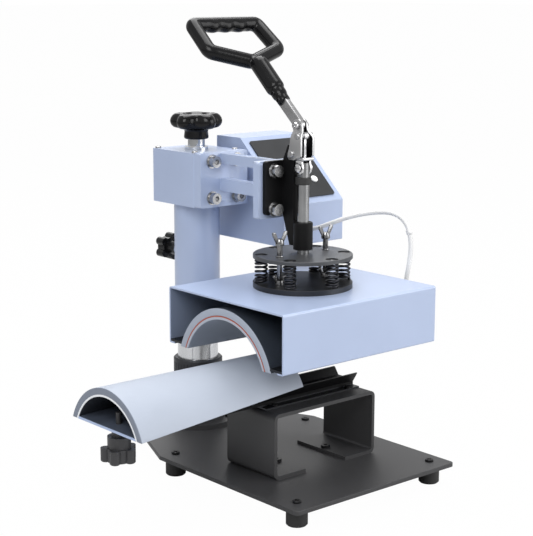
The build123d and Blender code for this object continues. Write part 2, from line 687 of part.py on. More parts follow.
# Toggle fork: two cheeks on the pivot, joined by a root block that holds the handle bar
s_y = cos(radians(GRIP_DEG))
s_z = sin(radians(GRIP_DEG))
BAR_HALF_X = 4.0
BAR_HALF_W = 8.0
BAR_START = -93.0
STEM_BOLTS = (-72.0, -56.0)
BAR_END = -40.0
ROOT_R = 9.0
EAR_RIM = 4.0
root = (GRIP_Y + BAR_START * s_y, GRIP_Z + BAR_START * s_z)
lever_pin_spot = (0, PIN_Z)
LEVER_PIN_D = 7.0
PIN_CAP_RIM = 1.5
PIN_CAP_T = 1.5
with BuildPart() as handle_bar:
    with BuildSketch(Plane.YZ.offset(-BAR_HALF_X)):
        with Locations((GRIP_Y + (BAR_START + BAR_END) / 2 * s_y, GRIP_Z + (BAR_START + BAR_END) / 2 * s_z)):
            SlotCenterToCenter(BAR_END - BAR_START, 2 * BAR_HALF_W, rotation=GRIP_DEG)
    extrude(amount=2 * BAR_HALF_X)
    bolt_spots = [(GRIP_Y + w * s_y, GRIP_Z + w * s_z) for w in (BAR_START, *STEM_BOLTS)]
    with BuildSketch(Plane.YZ.offset(-BAR_HALF_X)):
        with Locations(*bolt_spots):
            Circle(M6_D / 2)
    extrude(amount=2 * BAR_HALF_X, mode=Mode.SUBTRACT)
save(handle_bar, "handle_bar")

with BuildPart() as lever_fork:
    for side in (-1, 1):
        with BuildSketch(Plane.YZ.offset(side * FORK_IN)):
            with Locations(pivot):
                Circle(PIVOT_BOSS_R + 0.5)
            with Locations(lever_pin_spot):
                Circle(LEVER_PIN_D / 2 + EAR_RIM)
            with Locations(root):
                Circle(ROOT_R)
            make_hull()
            with Locations(pivot):
                Circle(PIVOT_D / 2 + RUN, mode=Mode.SUBTRACT)
            with Locations(lever_pin_spot):
                Circle(LEVER_PIN_D / 2, mode=Mode.SUBTRACT)
            with Locations(root):
                Circle(M6_D / 2, mode=Mode.SUBTRACT)
        extrude(amount=side * (FORK_OUT - FORK_IN))
        with BuildSketch(Plane.YZ.offset(side * BAR_HALF_X)):
            with Locations(root):
                Circle(ROOT_R)
                Circle(M6_D / 2, mode=Mode.SUBTRACT)
        extrude(amount=side * (FORK_IN - BAR_HALF_X))
save(lever_fork, "lever_fork")

with BuildPart() as lever_pin:
    with BuildSketch(Plane.YZ.offset(-FORK_OUT)):
        with Locations(lever_pin_spot):
            Circle(LEVER_PIN_D / 2)
    extrude(amount=2 * FORK_OUT)
    for side in (-1, 1):
        with BuildSketch(Plane.YZ.offset(side * FORK_OUT)):
            with Locations(lever_pin_spot):
                Circle(LEVER_PIN_D / 2 + PIN_CAP_RIM)
        extrude(amount=side * PIN_CAP_T)
save(lever_pin, "lever_pin")

# Link yoke: two ears joined by a bridge in front. The toggle's loop is open at the plunger's pin,
# so that pin ends flush with the plunger's flat, and the ears carry its two heads.
link_low = (0, PLUNGER_PIN_Z)
LINK_TOP_R = 5.5
LINK_LOW_R = 6.5
LINK_WAIST_Y = 4.2
BRIDGE_RISE = 13.5
BRIDGE_H = 9.0
BRIDGE_FRONT = -10.0
BRIDGE_T = 3.0
PIN_HEAD_D = 9.4
PIN_HEAD_T = 1.7
with BuildPart() as toggle_link:
    for side in (-1, 1):
        with BuildSketch(Plane.YZ.offset(side * LINK_IN)):
            with Locations(lever_pin_spot):
                Circle(LINK_TOP_R)
            with Locations(link_low):
                Circle(LINK_LOW_R)
            with Locations((0, (PLUNGER_PIN_Z + PIN_Z) / 2)):
                Rectangle(2 * LINK_WAIST_Y, LINK_L)
            with Locations((BRIDGE_FRONT / 2, PLUNGER_PIN_Z + BRIDGE_RISE)):
                Rectangle(-BRIDGE_FRONT, BRIDGE_H)
            with Locations(lever_pin_spot):
                Circle(LEVER_PIN_D / 2 + RUN, mode=Mode.SUBTRACT)
        extrude(amount=side * LINK_T)
        with BuildSketch(Plane.YZ.offset(side * LINK_OUT)):
            with Locations(link_low):
                Circle(PIN_HEAD_D / 2)
        extrude(amount=side * PIN_HEAD_T)
    with BuildSketch(Plane.YZ.offset(-LINK_OUT)):
        with Locations((BRIDGE_FRONT + BRIDGE_T / 2, PLUNGER_PIN_Z + BRIDGE_RISE)):
            Rectangle(BRIDGE_T, BRIDGE_H)
    extrude(amount=2 * LINK_OUT)
save(toggle_link, "toggle_link")

# Plunger: rod with a flat eye on top and a spigot through the upper disc
SPIGOT_D = 10.0
with BuildPart() as plunger_rod:
    with BuildSketch(Plane.XY.offset(UPPER_DISC_TOP)):
        Circle(PLUNGER_D / 2)
    extrude(amount=PLUNGER_PIN_Z + PLUNGER_EYE_R - UPPER_DISC_TOP)
    with BuildSketch(Plane.XY.offset(UPPER_DISC_LOW)):
        Circle(SPIGOT_D / 2)
    extrude(amount=UPPER_DISC_T)
    with BuildSketch(Plane.XY.offset(PLUNGER_FLAT_LOW)):
        for side in (-1, 1):
            with Locations((side * (PLUNGER_FLAT_HALF_X + PLUNGER_D / 2), 0)):
                Rectangle(PLUNGER_D, 2 * PLUNGER_D)
    extrude(amount=PLUNGER_EYE_RISE + PLUNGER_EYE_R, mode=Mode.SUBTRACT)
    with BuildSketch(Plane.YZ.offset(-PLUNGER_D)):
        with Locations(link_low):
            Circle(LEVER_PIN_D / 2)
    extrude(amount=2 * PLUNGER_D, mode=Mode.SUBTRACT)
save(plunger_rod, "plunger_rod")

with BuildPart() as plunger_stop:
    with BuildSketch(Plane.XY.offset(STOP_LOW)):
        Circle(STOP_D / 2)
        Circle(PLUNGER_D / 2, mode=Mode.SUBTRACT)
    extrude(amount=PLUNGER_FLAT_LOW - STOP_LOW)
    chamfer(plunger_stop.edges().filter_by(GeomType.CIRCLE).sort_by(SortBy.RADIUS)[-2:], 0.8)
save(plunger_stop, "plunger_stop")

with BuildPart() as plunger_pin:
    with BuildSketch(Plane.YZ.offset(-PLUNGER_FLAT_HALF_X)):
        with Locations(link_low):
            Circle(LEVER_PIN_D / 2)
    extrude(amount=2 * PLUNGER_FLAT_HALF_X)
save(plunger_pin, "plunger_pin")

# Press discs
SPRING_OFFSET_DEG = 30.0
with BuildPart() as upper_disc:
    with BuildSketch(Plane.XY.offset(UPPER_DISC_LOW)):
        Circle(DISC_D / 2)
        Circle(SPIGOT_D / 2, mode=Mode.SUBTRACT)
        with Locations((-WING_X, 0), (WING_X, 0)):
            Circle(WING_SHAFT_D / 2 + RUN, mode=Mode.SUBTRACT)
    extrude(amount=UPPER_DISC_T)
    with BuildSketch(Plane.XY.offset(UPPER_DISC_TOP - RECESS_H)):
        with PolarLocations(SPRING_RING_R, 6, start_angle=SPRING_OFFSET_DEG):
            Circle(RECESS_D / 2)
    extrude(amount=RECESS_H, mode=Mode.SUBTRACT)
    chamfer(upper_disc.faces().sort_by(Axis.Z)[-1].outer_wire().edges(), 0.5)
save(upper_disc, "upper_disc")

with BuildPart() as lower_disc:
    with BuildSketch(Plane.XY.offset(HOUSING_TOP)):
        Circle(DISC_D / 2)
    extrude(amount=LOWER_DISC_T)
    with BuildSketch(Plane.XY.offset(LOWER_DISC_TOP)):
        with Locations((-WING_X, 0), (WING_X, 0)):
            Circle(WING_SHAFT_D / 2 + RUN)
    extrude(amount=-WING_HOLE_DEEP, mode=Mode.SUBTRACT)
    chamfer(lower_disc.faces().sort_by(Axis.Z)[-1].outer_wire().edges(), 0.5)
save(lower_disc, "lower_disc")

# Springs: one wire each, swept along pairs of arcs that follow a helix by quarter turns
coil_r = SPRING_MEAN_D / 2
coil_rise = SPRING_H / SPRING_TURNS


def helix_point(turn):
    angle = 2 * pi * turn
    return Vector(coil_r * cos(angle), coil_r * sin(angle), coil_rise * turn)


def helix_tangent(turn):
    angle = 2 * pi * turn
    return Vector(-coil_r * sin(angle), coil_r * cos(angle), coil_rise / (2 * pi)).normalized()


def biarc(start, end, tangent_in, tangent_out):
    """Gives the join of two arcs that leave start along tangent_in and reach end along tangent_out."""
    chord = end - start
    both = tangent_in + tangent_out
    a = both.dot(both) - 4
    b = -2 * chord.dot(both)
    reach = (-b - sqrt(b * b - 4 * a * chord.dot(chord))) / (2 * a)
    first = start + tangent_in * reach
    last = end - tangent_out * reach
    return (first + last) * 0.5, last - first


coil_points = [helix_point(i / 48) for i in range(48 * SPRING_TURNS + 1)]
coil_gap = min(
    (coil_points[i] - coil_points[j]).length
    for i in range(len(coil_points))
    for j in range(i + 24, len(coil_points))
) - WIRE_D
print("spring wire gap", round(coil_gap, 2))

with BuildPart(mode=Mode.PRIVATE) as one_spring:
    with BuildLine() as coil:
        for i in range(4 * SPRING_TURNS):
            start = helix_point(i / 4)
            end = helix_point((i + 1) / 4)
            join, join_tangent = biarc(start, end, helix_tangent(i / 4), helix_tangent((i + 1) / 4))
            TangentArc(start, join, tangent=helix_tangent(i / 4))
            TangentArc(join, end, tangent=join_tangent)
    with BuildSketch(Plane(origin=helix_point(0), z_dir=helix_tangent(0))):
        Circle(WIRE_D / 2)
    sweep(path=coil.wires()[0])
    with BuildSketch(Plane.XY):
        Rectangle(4 * coil_r, 4 * coil_r)
    extrude(amount=SPRING_H, mode=Mode.INTERSECT)

with BuildPart() as press_springs:
    with Locations((0, 0, LOWER_DISC_TOP)):
        with PolarLocations(SPRING_RING_R, 6, start_angle=SPRING_OFFSET_DEG):
            add(one_spring.part)
save(press_springs, "press_springs")

# Wing bolts: a shaft through both discs, a collar that rests on the upper disc, two wings on top
WING_COLLAR_D = 12.0
WING_COLLAR_T = 3.5
WING_T = 3.5
WING_HUB_D = 9.0
WING_HUB_H = 7.0
WING_HUB_DROP = 2.0
WING_OUT = 6.4
WING_UP = 6.5
WING_H = 14.0
WING_W = 7.2
WING_TILT_DEG = 25
WING_END_AIR = 0.2
for name, side in (("wing_bolt_left", -1), ("wing_bolt_right", 1)):
    with BuildPart() as wing_bolt:
        with BuildSketch(Plane.XY.offset(LOWER_DISC_TOP - WING_HOLE_DEEP + WING_END_AIR)):
            with Locations((side * WING_X, 0)):
                Circle(WING_SHAFT_D / 2)
        extrude(amount=WING_Z - LOWER_DISC_TOP + WING_HOLE_DEEP - WING_END_AIR)
        with BuildSketch(Plane.XY.offset(UPPER_DISC_TOP + RUN / 2)):
            with Locations((side * WING_X, 0)):
                Circle(WING_COLLAR_D / 2)
        extrude(amount=WING_COLLAR_T)
        with BuildSketch(Plane.XY.offset(WING_Z - WING_HUB_DROP)):
            with Locations((side * WING_X, 0)):
                Circle(WING_HUB_D / 2)
        extrude(amount=WING_HUB_H)
        with BuildSketch(Plane.XZ.offset(-WING_T / 2)):
            for wing in (-1, 1):
                with Locations((side * WING_X + wing * WING_OUT, WING_Z + WING_UP)):
                    Ellipse(WING_W / 2, WING_H / 2, rotation=-wing * WING_TILT_DEG)
        extrude(amount=WING_T)
    save(wing_bolt, name)

LOCK_D = 11.0
LOCK_H = 6.0
LOCK_WING_OUT = 6.2
LOCK_WING_UP = 6.8
LOCK_WING_W = 6.0
LOCK_WING_H = 11.2
with BuildPart() as lock_nuts:
    for side in (-1, 1):
        with BuildSketch(Plane.XY.offset(LOWER_DISC_TOP)):
            with Locations((side * WING_X, 0)):
                Circle(LOCK_D / 2)
        extrude(amount=LOCK_H)
        with BuildSketch(Plane.XZ.offset(-WING_T / 2)):
            for wing in (-1, 1):
                with Locations((side * WING_X + wing * LOCK_WING_OUT, LOWER_DISC_TOP + LOCK_WING_UP)):
                    Ellipse(LOCK_WING_W / 2, LOCK_WING_H / 2, rotation=-wing * WING_TILT_DEG)
        extrude(amount=WING_T)
        with BuildSketch(Plane.XY.offset(LOWER_DISC_TOP)):
            with Locations((side * WING_X, 0)):
                Circle(WING_SHAFT_D / 2 + RUN)
        extrude(amount=LOCK_WING_UP + LOCK_WING_H, mode=Mode.SUBTRACT)
save(lock_nuts, "lock_nuts")

# Housing: folded sheet, open on the left and below, with lips turned in along the bottom
with BuildPart() as press_housing:
    with BuildSketch(Plane.YZ.offset(-HOUSING_HALF_X)):
        with Locations((0, (HOUSING_LOW + HOUSING_TOP) / 2)):
            Rectangle(2 * HOUSING_HALF_Y, HOUSING_TOP - HOUSING_LOW)
    extrude(amount=2 * HOUSING_HALF_X)
    fillet(press_housing.edges().filter_by(Axis.X).group_by(Axis.Z)[-1], 2.5)
    fillet(press_housing.edges().filter_by(Axis.X).group_by(Axis.Z)[0], 2.0)
    with BuildSketch(Plane.YZ.offset(-HOUSING_HALF_X)):
        with Locations((0, (HOUSING_LOW + HOUSING_TOP) / 2)):
            Rectangle(2 * (HOUSING_HALF_Y - SHEET), HOUSING_TOP - HOUSING_LOW - 2 * SHEET)
    extrude(amount=2 * HOUSING_HALF_X - SHEET, mode=Mode.SUBTRACT)
    with BuildSketch(Plane.XY.offset(HOUSING_LOW)):
        with Locations((-SHEET, 0)):
            Rectangle(2 * HOUSING_HALF_X, 2 * (HOUSING_HALF_Y - HOUSING_LIP))
    extrude(amount=SHEET, mode=Mode.SUBTRACT)
save(press_housing, "press_housing")

# Heating arch: three bands with level feet and a level ridge, narrower at the right end
ARCH_LEFT_X = -HOUSING_HALF_X


def band_spread(centre_z, radius, foot_z):
    """Gives how far a foot of an arc stands from the middle plane."""
    return sqrt(radius**2 - (foot_z - centre_z) ** 2)


arch_bands = (
    ("arch_liner", 0.0, LINER_T),
    ("arch_heater", LINER_T, LINER_T + HEATER_T),
    ("arch_cover", LINER_T + HEATER_T, LINER_T + HEATER_T + COVER_T),
)
for name, inside, outside in arch_bands:
    with BuildPart() as band:
        for x, bore in ((ARCH_LEFT_X, ARCH_LEFT_R), (ARCH_RIGHT_X, ARCH_RIGHT_R)):
            centre = ARCH_RIDGE - bore
            outer = bore + outside
            inner = bore + inside
            outer_y = band_spread(centre, outer, ARCH_FOOT_Z)
            inner_y = band_spread(centre, inner, ARCH_FOOT_Z)
            with BuildSketch(Plane.YZ.offset(x)):
                with BuildLine():
                    ThreePointArc((-outer_y, ARCH_FOOT_Z), (0, centre + outer), (outer_y, ARCH_FOOT_Z))
                    Line((outer_y, ARCH_FOOT_Z), (inner_y, ARCH_FOOT_Z))
                    ThreePointArc((inner_y, ARCH_FOOT_Z), (0, centre + inner), (-inner_y, ARCH_FOOT_Z))
                    Line((-inner_y, ARCH_FOOT_Z), (-outer_y, ARCH_FOOT_Z))
                make_face()
        loft(ruled=True)
    save(band, name)

# Side strips from the housing's walls to the arch, lying on the lips
STRIP_T = 2.5
strip_low = HOUSING_LOW + SHEET
arch_outside = LINER_T + HEATER_T + COVER_T
with BuildPart() as arch_strips:
    for side in (-1, 1):
        strip_corners = []
        for x, bore in ((ARCH_LEFT_X, ARCH_LEFT_R), (ARCH_RIGHT_X, ARCH_RIGHT_R)):
            centre = ARCH_RIDGE - bore
            strip_corners.append((x, side * band_spread(centre, bore + arch_outside, strip_low)))
        wall_y = side * (HOUSING_HALF_Y - SHEET)
        with BuildSketch(Plane.XY.offset(strip_low)):
            Polygon(
                strip_corners[0],
                strip_corners[1],
                (strip_corners[1][0], wall_y),
                (strip_corners[0][0], wall_y),
                align=None,
            )
        extrude(amount=STRIP_T)
save(arch_strips, "arch_strips")

# Lead from the control box to the heating head, with the gland at each end
GLAND_D = 13.0
GLAND_AIR = 0.9
BOX_GLAND_IN = 33.0
BOX_GLAND_RISE = 19.0
BOX_GLAND_X = BOX_LEFT + BOX_GLAND_IN
BOX_GLAND_Z = BOX_LOW + BOX_GLAND_RISE
BOX_GLAND_L = 9.0
GLAND_FLANGE_T = 3.0
GLAND_STEP = 1.5
HEAD_GLAND_OUT = 8.5
HEAD_GLAND_X = HOUSING_HALF_X + HEAD_GLAND_OUT
HEAD_GLAND_Y = -40.0
HEAD_GLAND_RISE = 29.4
HEAD_GLAND_LOW = HOUSING_LOW + HEAD_GLAND_RISE
HEAD_GLAND_H = 18.0
HEAD_GLAND_FLOOR = 3.0
HEAD_GLAND_R = 3.0
LEAD_IN_GLAND = 6.0
LEAD_END_Z = HEAD_GLAND_LOW + HEAD_GLAND_H - LEAD_IN_GLAND
lead_route = [
    (BOX_GLAND_X, BOX_FRONT - 2.0, BOX_GLAND_Z),
    (BOX_GLAND_X + 1.0, BOX_FRONT - 16.0, BOX_GLAND_Z + 1.5),
    (BOX_GLAND_X + 9.0, BOX_FRONT - 32.0, BOX_GLAND_Z + 9.0),
    (BOX_GLAND_X + 28.0, BOX_FRONT - 48.0, BOX_GLAND_Z + 18.0),
    (BOX_GLAND_X + 46.0, BOX_FRONT - 71.0, BOX_GLAND_Z + 24.0),
    (HEAD_GLAND_X + 10.0, HEAD_GLAND_Y + 27.0, LEAD_END_Z + 92.0),
    (HEAD_GLAND_X + 11.5, HEAD_GLAND_Y + 9.0, LEAD_END_Z + 82.0),
    (HEAD_GLAND_X + 10.0, HEAD_GLAND_Y + 0.5, LEAD_END_Z + 62.0),
    (HEAD_GLAND_X + 6.0, HEAD_GLAND_Y - 1.5, LEAD_END_Z + 41.0),
    (HEAD_GLAND_X + 1.5, HEAD_GLAND_Y - 0.5, LEAD_END_Z + 20.0),
    (HEAD_GLAND_X, HEAD_GLAND_Y, LEAD_END_Z),
]


def route_radii(points):
    """Gives each corner of a route the largest arc that its shorter run allows."""
    radii = []
    for before, corner, after in zip(points, points[1:], points[2:]):
        run_in = Vector(*corner) - Vector(*before)
        run_out = Vector(*after) - Vector(*corner)
        half_turn = radians(run_in.get_angle(run_out)) / 2
        radii.append(0.45 * min(run_in.length, run_out.length) / tan(half_turn))
    return radii


lead_radii = route_radii(lead_route)
print("lead radii", [round(r) for r in lead_radii])
with BuildPart() as heater_lead:
    with BuildLine() as lead_line:
        FilletPolyline(*lead_route, radius=lead_radii)
    lead_wire = lead_line.wires()[0]
    with BuildSketch(Plane(origin=lead_wire @ 0, z_dir=lead_wire % 0)):
        Circle(LEAD_D / 2)
    sweep(path=lead_wire)
lead_section = pi * LEAD_D**2 / 4
print("lead length", round(lead_wire.length), "volume share", heater_lead.part.volume / lead_section / lead_wire.length)
save(heater_lead, "heater_lead")

head_gland_reach = HEAD_GLAND_OUT + GLAND_D / 2 - 0.5
with BuildPart() as head_gland:
    with BuildSketch(Plane.XY.offset(HEAD_GLAND_LOW)):
        with Locations((HOUSING_HALF_X + head_gland_reach / 2, HEAD_GLAND_Y)):
            Rectangle(head_gland_reach, GLAND_D)
    extrude(amount=HEAD_GLAND_H)
    fillet(head_gland.edges().filter_by(Axis.Z).group_by(Axis.X)[-1], HEAD_GLAND_R)
    with BuildSketch(Plane.XY.offset(HEAD_GLAND_LOW + HEAD_GLAND_FLOOR)):
        with Locations((HEAD_GLAND_X, HEAD_GLAND_Y)):
            Circle(LEAD_D / 2 + GLAND_AIR)
    extrude(amount=HEAD_GLAND_H, mode=Mode.SUBTRACT)
save(head_gland, "head_gland")

# Control box: folded case, dark panel on the slanted front, bracket to the head block
CASE_T = 1.5
case_line = [
    (BOX_FRONT, BOX_LOW),
    (BOX_FRONT, BOX_KNEE_Z),
    (BOX_TOP_Y, BOX_TOP),
    (BOX_BACK, BOX_TOP),
    (BOX_BACK, BOX_LOW),
]
slope = atan2(BOX_TOP - BOX_KNEE_Z, BOX_TOP_Y - BOX_FRONT)
slope_len = hypot(BOX_TOP - BOX_KNEE_Z, BOX_TOP_Y - BOX_FRONT)
box_mid_x = (BOX_LEFT + BOX_RIGHT) / 2
slant = Plane(
    origin=(box_mid_x, (BOX_FRONT + BOX_TOP_Y) / 2, (BOX_KNEE_Z + BOX_TOP) / 2),
    x_dir=(1, 0, 0),
    z_dir=(0, -sin(slope), cos(slope)),
)
PANEL_MARGIN = 8.0
PANEL_T = 1.8
KEY_U = 21.0
KEY_W = -21.0
KEY_D = 9.0
KEY_STROKE = 1.2
panel_w = BOX_RIGHT - BOX_LEFT - 2 * PANEL_MARGIN
panel_h = slope_len - 2 * PANEL_MARGIN
WINDOW_IN = 6.0
INLET_IN = 65.0
INLET_RISE = 37.0
INLET_X = BOX_LEFT + INLET_IN
INLET_Z = BOX_LOW + INLET_RISE
INLET_W = 28.0
INLET_H = 48.0
with BuildPart() as control_case:
    with BuildSketch(Plane.YZ.offset(BOX_LEFT)):
        Polygon(*case_line, align=None)
    extrude(amount=BOX_RIGHT - BOX_LEFT)
    fillet(control_case.edges().filter_by(Axis.X), 1.5)
    with BuildSketch(Plane.YZ.offset(BOX_LEFT + CASE_T)):
        Polygon(*case_line, align=None)
        offset(amount=-CASE_T, kind=Kind.INTERSECTION, mode=Mode.REPLACE)
    extrude(amount=BOX_RIGHT - BOX_LEFT - 2 * CASE_T, mode=Mode.SUBTRACT)
    with BuildSketch(slant):
        Rectangle(panel_w - 2 * WINDOW_IN, panel_h - 2 * WINDOW_IN)
    extrude(amount=-2 * CASE_T, mode=Mode.SUBTRACT)
    with BuildSketch(Plane.XZ.offset(-BOX_FRONT)):
        with Locations((BOX_GLAND_X, BOX_GLAND_Z)):
            Circle(LEAD_D / 2 + RUN)
    extrude(amount=-2 * CASE_T, mode=Mode.SUBTRACT)
    with BuildSketch(Plane.XZ.offset(-BOX_BACK)):
        with Locations((INLET_X, INLET_Z)):
            Rectangle(INLET_W, INLET_H)
    extrude(amount=2 * CASE_T, mode=Mode.SUBTRACT)
save(control_case, "control_case")

with BuildPart() as control_panel:
    with BuildSketch(slant):
        RectangleRounded(panel_w, panel_h, 3.0)
        with Locations((KEY_U, KEY_W)):
            Circle(KEY_D / 2 + RUN, mode=Mode.SUBTRACT)
    extrude(amount=PANEL_T)
save(control_panel, "control_panel")

KEY_PROUD = 1.8
BOARD_DROP = 7.0
BOARD_T = 1.6
with BuildPart() as panel_key:
    with BuildSketch(slant.offset(-3.0)):
        with Locations((KEY_U, KEY_W)):
            Circle(KEY_D / 2)
    extrude(amount=3.0 + PANEL_T + KEY_PROUD)
    chamfer(panel_key.edges().filter_by(GeomType.CIRCLE).sort_by(Axis.Z)[-1:], 0.6)
    with BuildSketch(slant.offset(-3.0)):
        with Locations((KEY_U, KEY_W)):
            Circle(KEY_D / 2 + 1.2)
            Circle(KEY_D / 2, mode=Mode.SUBTRACT)
    extrude(amount=3.0 - RUN / 2)
save(panel_key, "panel_key")

BOARD_W = 64.0
BOARD_H = 76.0
POST_IN = 4.0
BOARD_POST_R = 2.5
PART_H = 14.0
board_blocks = ((-14.0, 12.0, 22.0, 26.0), (16.0, -16.0, 16.0, 20.0))
board_posts = [
    (x * (BOARD_W / 2 - POST_IN), y * (BOARD_H / 2 - POST_IN)) for x in (-1, 1) for y in (-1, 1)
]
with BuildPart() as circuit_board:
    with BuildSketch(slant.offset(-BOARD_DROP)):
        Rectangle(BOARD_W, BOARD_H)
    extrude(amount=-BOARD_T)
    with BuildSketch(slant.offset(-BOARD_DROP)):
        with Locations(*board_posts):
            Circle(BOARD_POST_R)
    extrude(amount=BOARD_DROP)
    with BuildSketch(slant.offset(-BOARD_DROP - BOARD_T)):
        for block_u, block_w, block_width, block_height in board_blocks:
            with Locations((block_u, block_w)):
                Rectangle(block_width, block_height)
    extrude(amount=-PART_H)
save(circuit_board, "circuit_board")

ROCKER_RISE = 13.0
SOCKET_DROP = 9.0
ROCKER_Z = INLET_Z + ROCKER_RISE
SOCKET_Z = INLET_Z - SOCKET_DROP
ROCKER_W = 20.0
ROCKER_H = 13.0
ROCKER_AIR = 1.5
ROCKER_IN = 6.0
ROCKER_AXLE_D = 3.0
ROCKER_AXLE_OUT = 1.8
ROCKER_HUB_R = 3.6
ROCKER_AXIS_Y = BOX_BACK - ROCKER_IN
ROCKER_PROUD = 4.5
INLET_DEEP = 22.0
INLET_RIM = 2.5
INLET_FLANGE_T = 2.5
INLET_HOLE_DEEP = 18.0
SOCKET_W = 24.0
SOCKET_HOLE_H = 17.0
BLADE_L = 12.0
rocker_axle = (ROCKER_AXIS_Y, ROCKER_Z)
with BuildPart() as mains_inlet:
    with BuildSketch(Plane.XZ.offset(-BOX_BACK)):
        with Locations((INLET_X, INLET_Z)):
            Rectangle(INLET_W + 2 * INLET_RIM + 3.0, INLET_H + 2 * INLET_RIM)
    extrude(amount=-INLET_FLANGE_T)
    with BuildSketch(Plane.XZ.offset(-BOX_BACK)):
        with Locations((INLET_X, INLET_Z)):
            Rectangle(INLET_W - 2 * RUN, INLET_H - 2 * RUN)
    extrude(amount=INLET_DEEP)
    with BuildSketch(Plane.XZ.offset(-BOX_BACK - INLET_FLANGE_T)):
        with Locations((INLET_X, SOCKET_Z)):
            RectangleRounded(SOCKET_W, SOCKET_HOLE_H, 3.0)
        with Locations((INLET_X, ROCKER_Z)):
            Rectangle(ROCKER_W + 2 * AIR, ROCKER_H + 2 * ROCKER_AIR)
    extrude(amount=INLET_HOLE_DEEP, mode=Mode.SUBTRACT)
    with BuildSketch(Plane.YZ.offset(INLET_X - ROCKER_W / 2 - ROCKER_AXLE_OUT - AIR)):
        with Locations(rocker_axle):
            Circle(ROCKER_AXLE_D / 2 + RUN)
    extrude(amount=ROCKER_W + 2 * ROCKER_AXLE_OUT + 2 * AIR, mode=Mode.SUBTRACT)
    with BuildSketch(Plane.XZ.offset(-BOX_BACK - INLET_FLANGE_T + INLET_HOLE_DEEP)):
        with Locations((INLET_X - 7, SOCKET_Z - 2), (INLET_X, SOCKET_Z + 3), (INLET_X + 7, SOCKET_Z - 2)):
            Rectangle(2.0, 5.0)
    extrude(amount=-BLADE_L)
save(mains_inlet, "mains_inlet")

# Rocker: a hub on a short axle, and a dished face that stands out of the inlet
rocker_line = [
    (ROCKER_AXIS_Y, ROCKER_Z - ROCKER_HUB_R),
    (BOX_BACK + 2.0, ROCKER_Z - ROCKER_H / 2),
    (BOX_BACK + ROCKER_PROUD, ROCKER_Z - ROCKER_H / 2),
    (BOX_BACK + ROCKER_PROUD - 1.5, ROCKER_Z),
    (BOX_BACK + ROCKER_PROUD, ROCKER_Z + ROCKER_H / 2),
    (BOX_BACK + 2.0, ROCKER_Z + ROCKER_H / 2),
    (ROCKER_AXIS_Y, ROCKER_Z + ROCKER_HUB_R),
]
with BuildPart() as power_rocker:
    with BuildSketch(Plane.YZ.offset(INLET_X - ROCKER_W / 2)):
        Polygon(*rocker_line, align=None)
        with Locations(rocker_axle):
            Circle(ROCKER_HUB_R)
    extrude(amount=ROCKER_W)
    with BuildSketch(Plane.YZ.offset(INLET_X - ROCKER_W / 2 - ROCKER_AXLE_OUT)):
        with Locations(rocker_axle):
            Circle(ROCKER_AXLE_D / 2)
    extrude(amount=ROCKER_W + 2 * ROCKER_AXLE_OUT)
save(power_rocker, "power_rocker")

with BuildPart() as box_gland:
    with BuildSketch(Plane.XZ.offset(-BOX_FRONT)):
        with Locations((BOX_GLAND_X, BOX_GLAND_Z)):
            Circle(GLAND_D / 2)
    extrude(amount=GLAND_FLANGE_T)
    with BuildSketch(Plane.XZ.offset(-BOX_FRONT + GLAND_FLANGE_T)):
        with Locations((BOX_GLAND_X, BOX_GLAND_Z)):
            Circle(GLAND_D / 2 - GLAND_STEP)
    extrude(amount=BOX_GLAND_L - GLAND_FLANGE_T)
    add(heater_lead.part, mode=Mode.SUBTRACT)
save(box_gland, "box_gland")

BRACKET_T = 3.0
BRACKET_BEHIND = 23.0
BRACKET_L = 35.0
BRACKET_Y0 = COLUMN_Y - BRACKET_BEHIND
BRACKET_Y1 = BRACKET_Y0 + BRACKET_L
BRACKET_RISE = 7.0
BRACKET_LOW = BLOCK_LOW + BRACKET_RISE
BRACKET_H = 46.0
with BuildPart() as box_bracket:
    with BuildSketch(Plane.XY.offset(BRACKET_LOW)):
        Polygon(
            (BLOCK_HALF_X, BRACKET_Y0),
            (BLOCK_HALF_X + BRACKET_T, BRACKET_Y0),
            (BLOCK_HALF_X + BRACKET_T, BRACKET_Y1 - BRACKET_T),
            (BOX_LEFT - BRACKET_T, BRACKET_Y1 - BRACKET_T),
            (BOX_LEFT - BRACKET_T, BRACKET_Y0),
            (BOX_LEFT, BRACKET_Y0),
            (BOX_LEFT, BRACKET_Y1),
            (BLOCK_HALF_X, BRACKET_Y1),
            align=None,
        )
    extrude(amount=BRACKET_H)
save(box_bracket, "box_bracket")

# Handle: black D-shaped grip with a stepped stem that holds the chrome bar
grip_plane = Plane(origin=(0, GRIP_Y, GRIP_Z), x_dir=(1, 0, 0), z_dir=(0, -s_z, s_y))
LOOP_R = 6.0
LOOP_ROUND = 3.5
WINDOW_R = 5.0
WINDOW_ROUND = 1.5
loop_outer = [(-12, -14), (12, -14), (51, 2), (57, 14), (56, 64), (47, 72), (-47, 72), (-56, 64), (-57, 14), (-51, 2)]
loop_window = [(0, 15), (34, 25), (40, 31), (38.5, 56), (-38.5, 56), (-40, 31), (-34, 25)]
WAVE_R = 14.0
WAVE_W = 44.8
WAVE_SPOTS = (-28.5, -9.5, 9.5, 28.5)
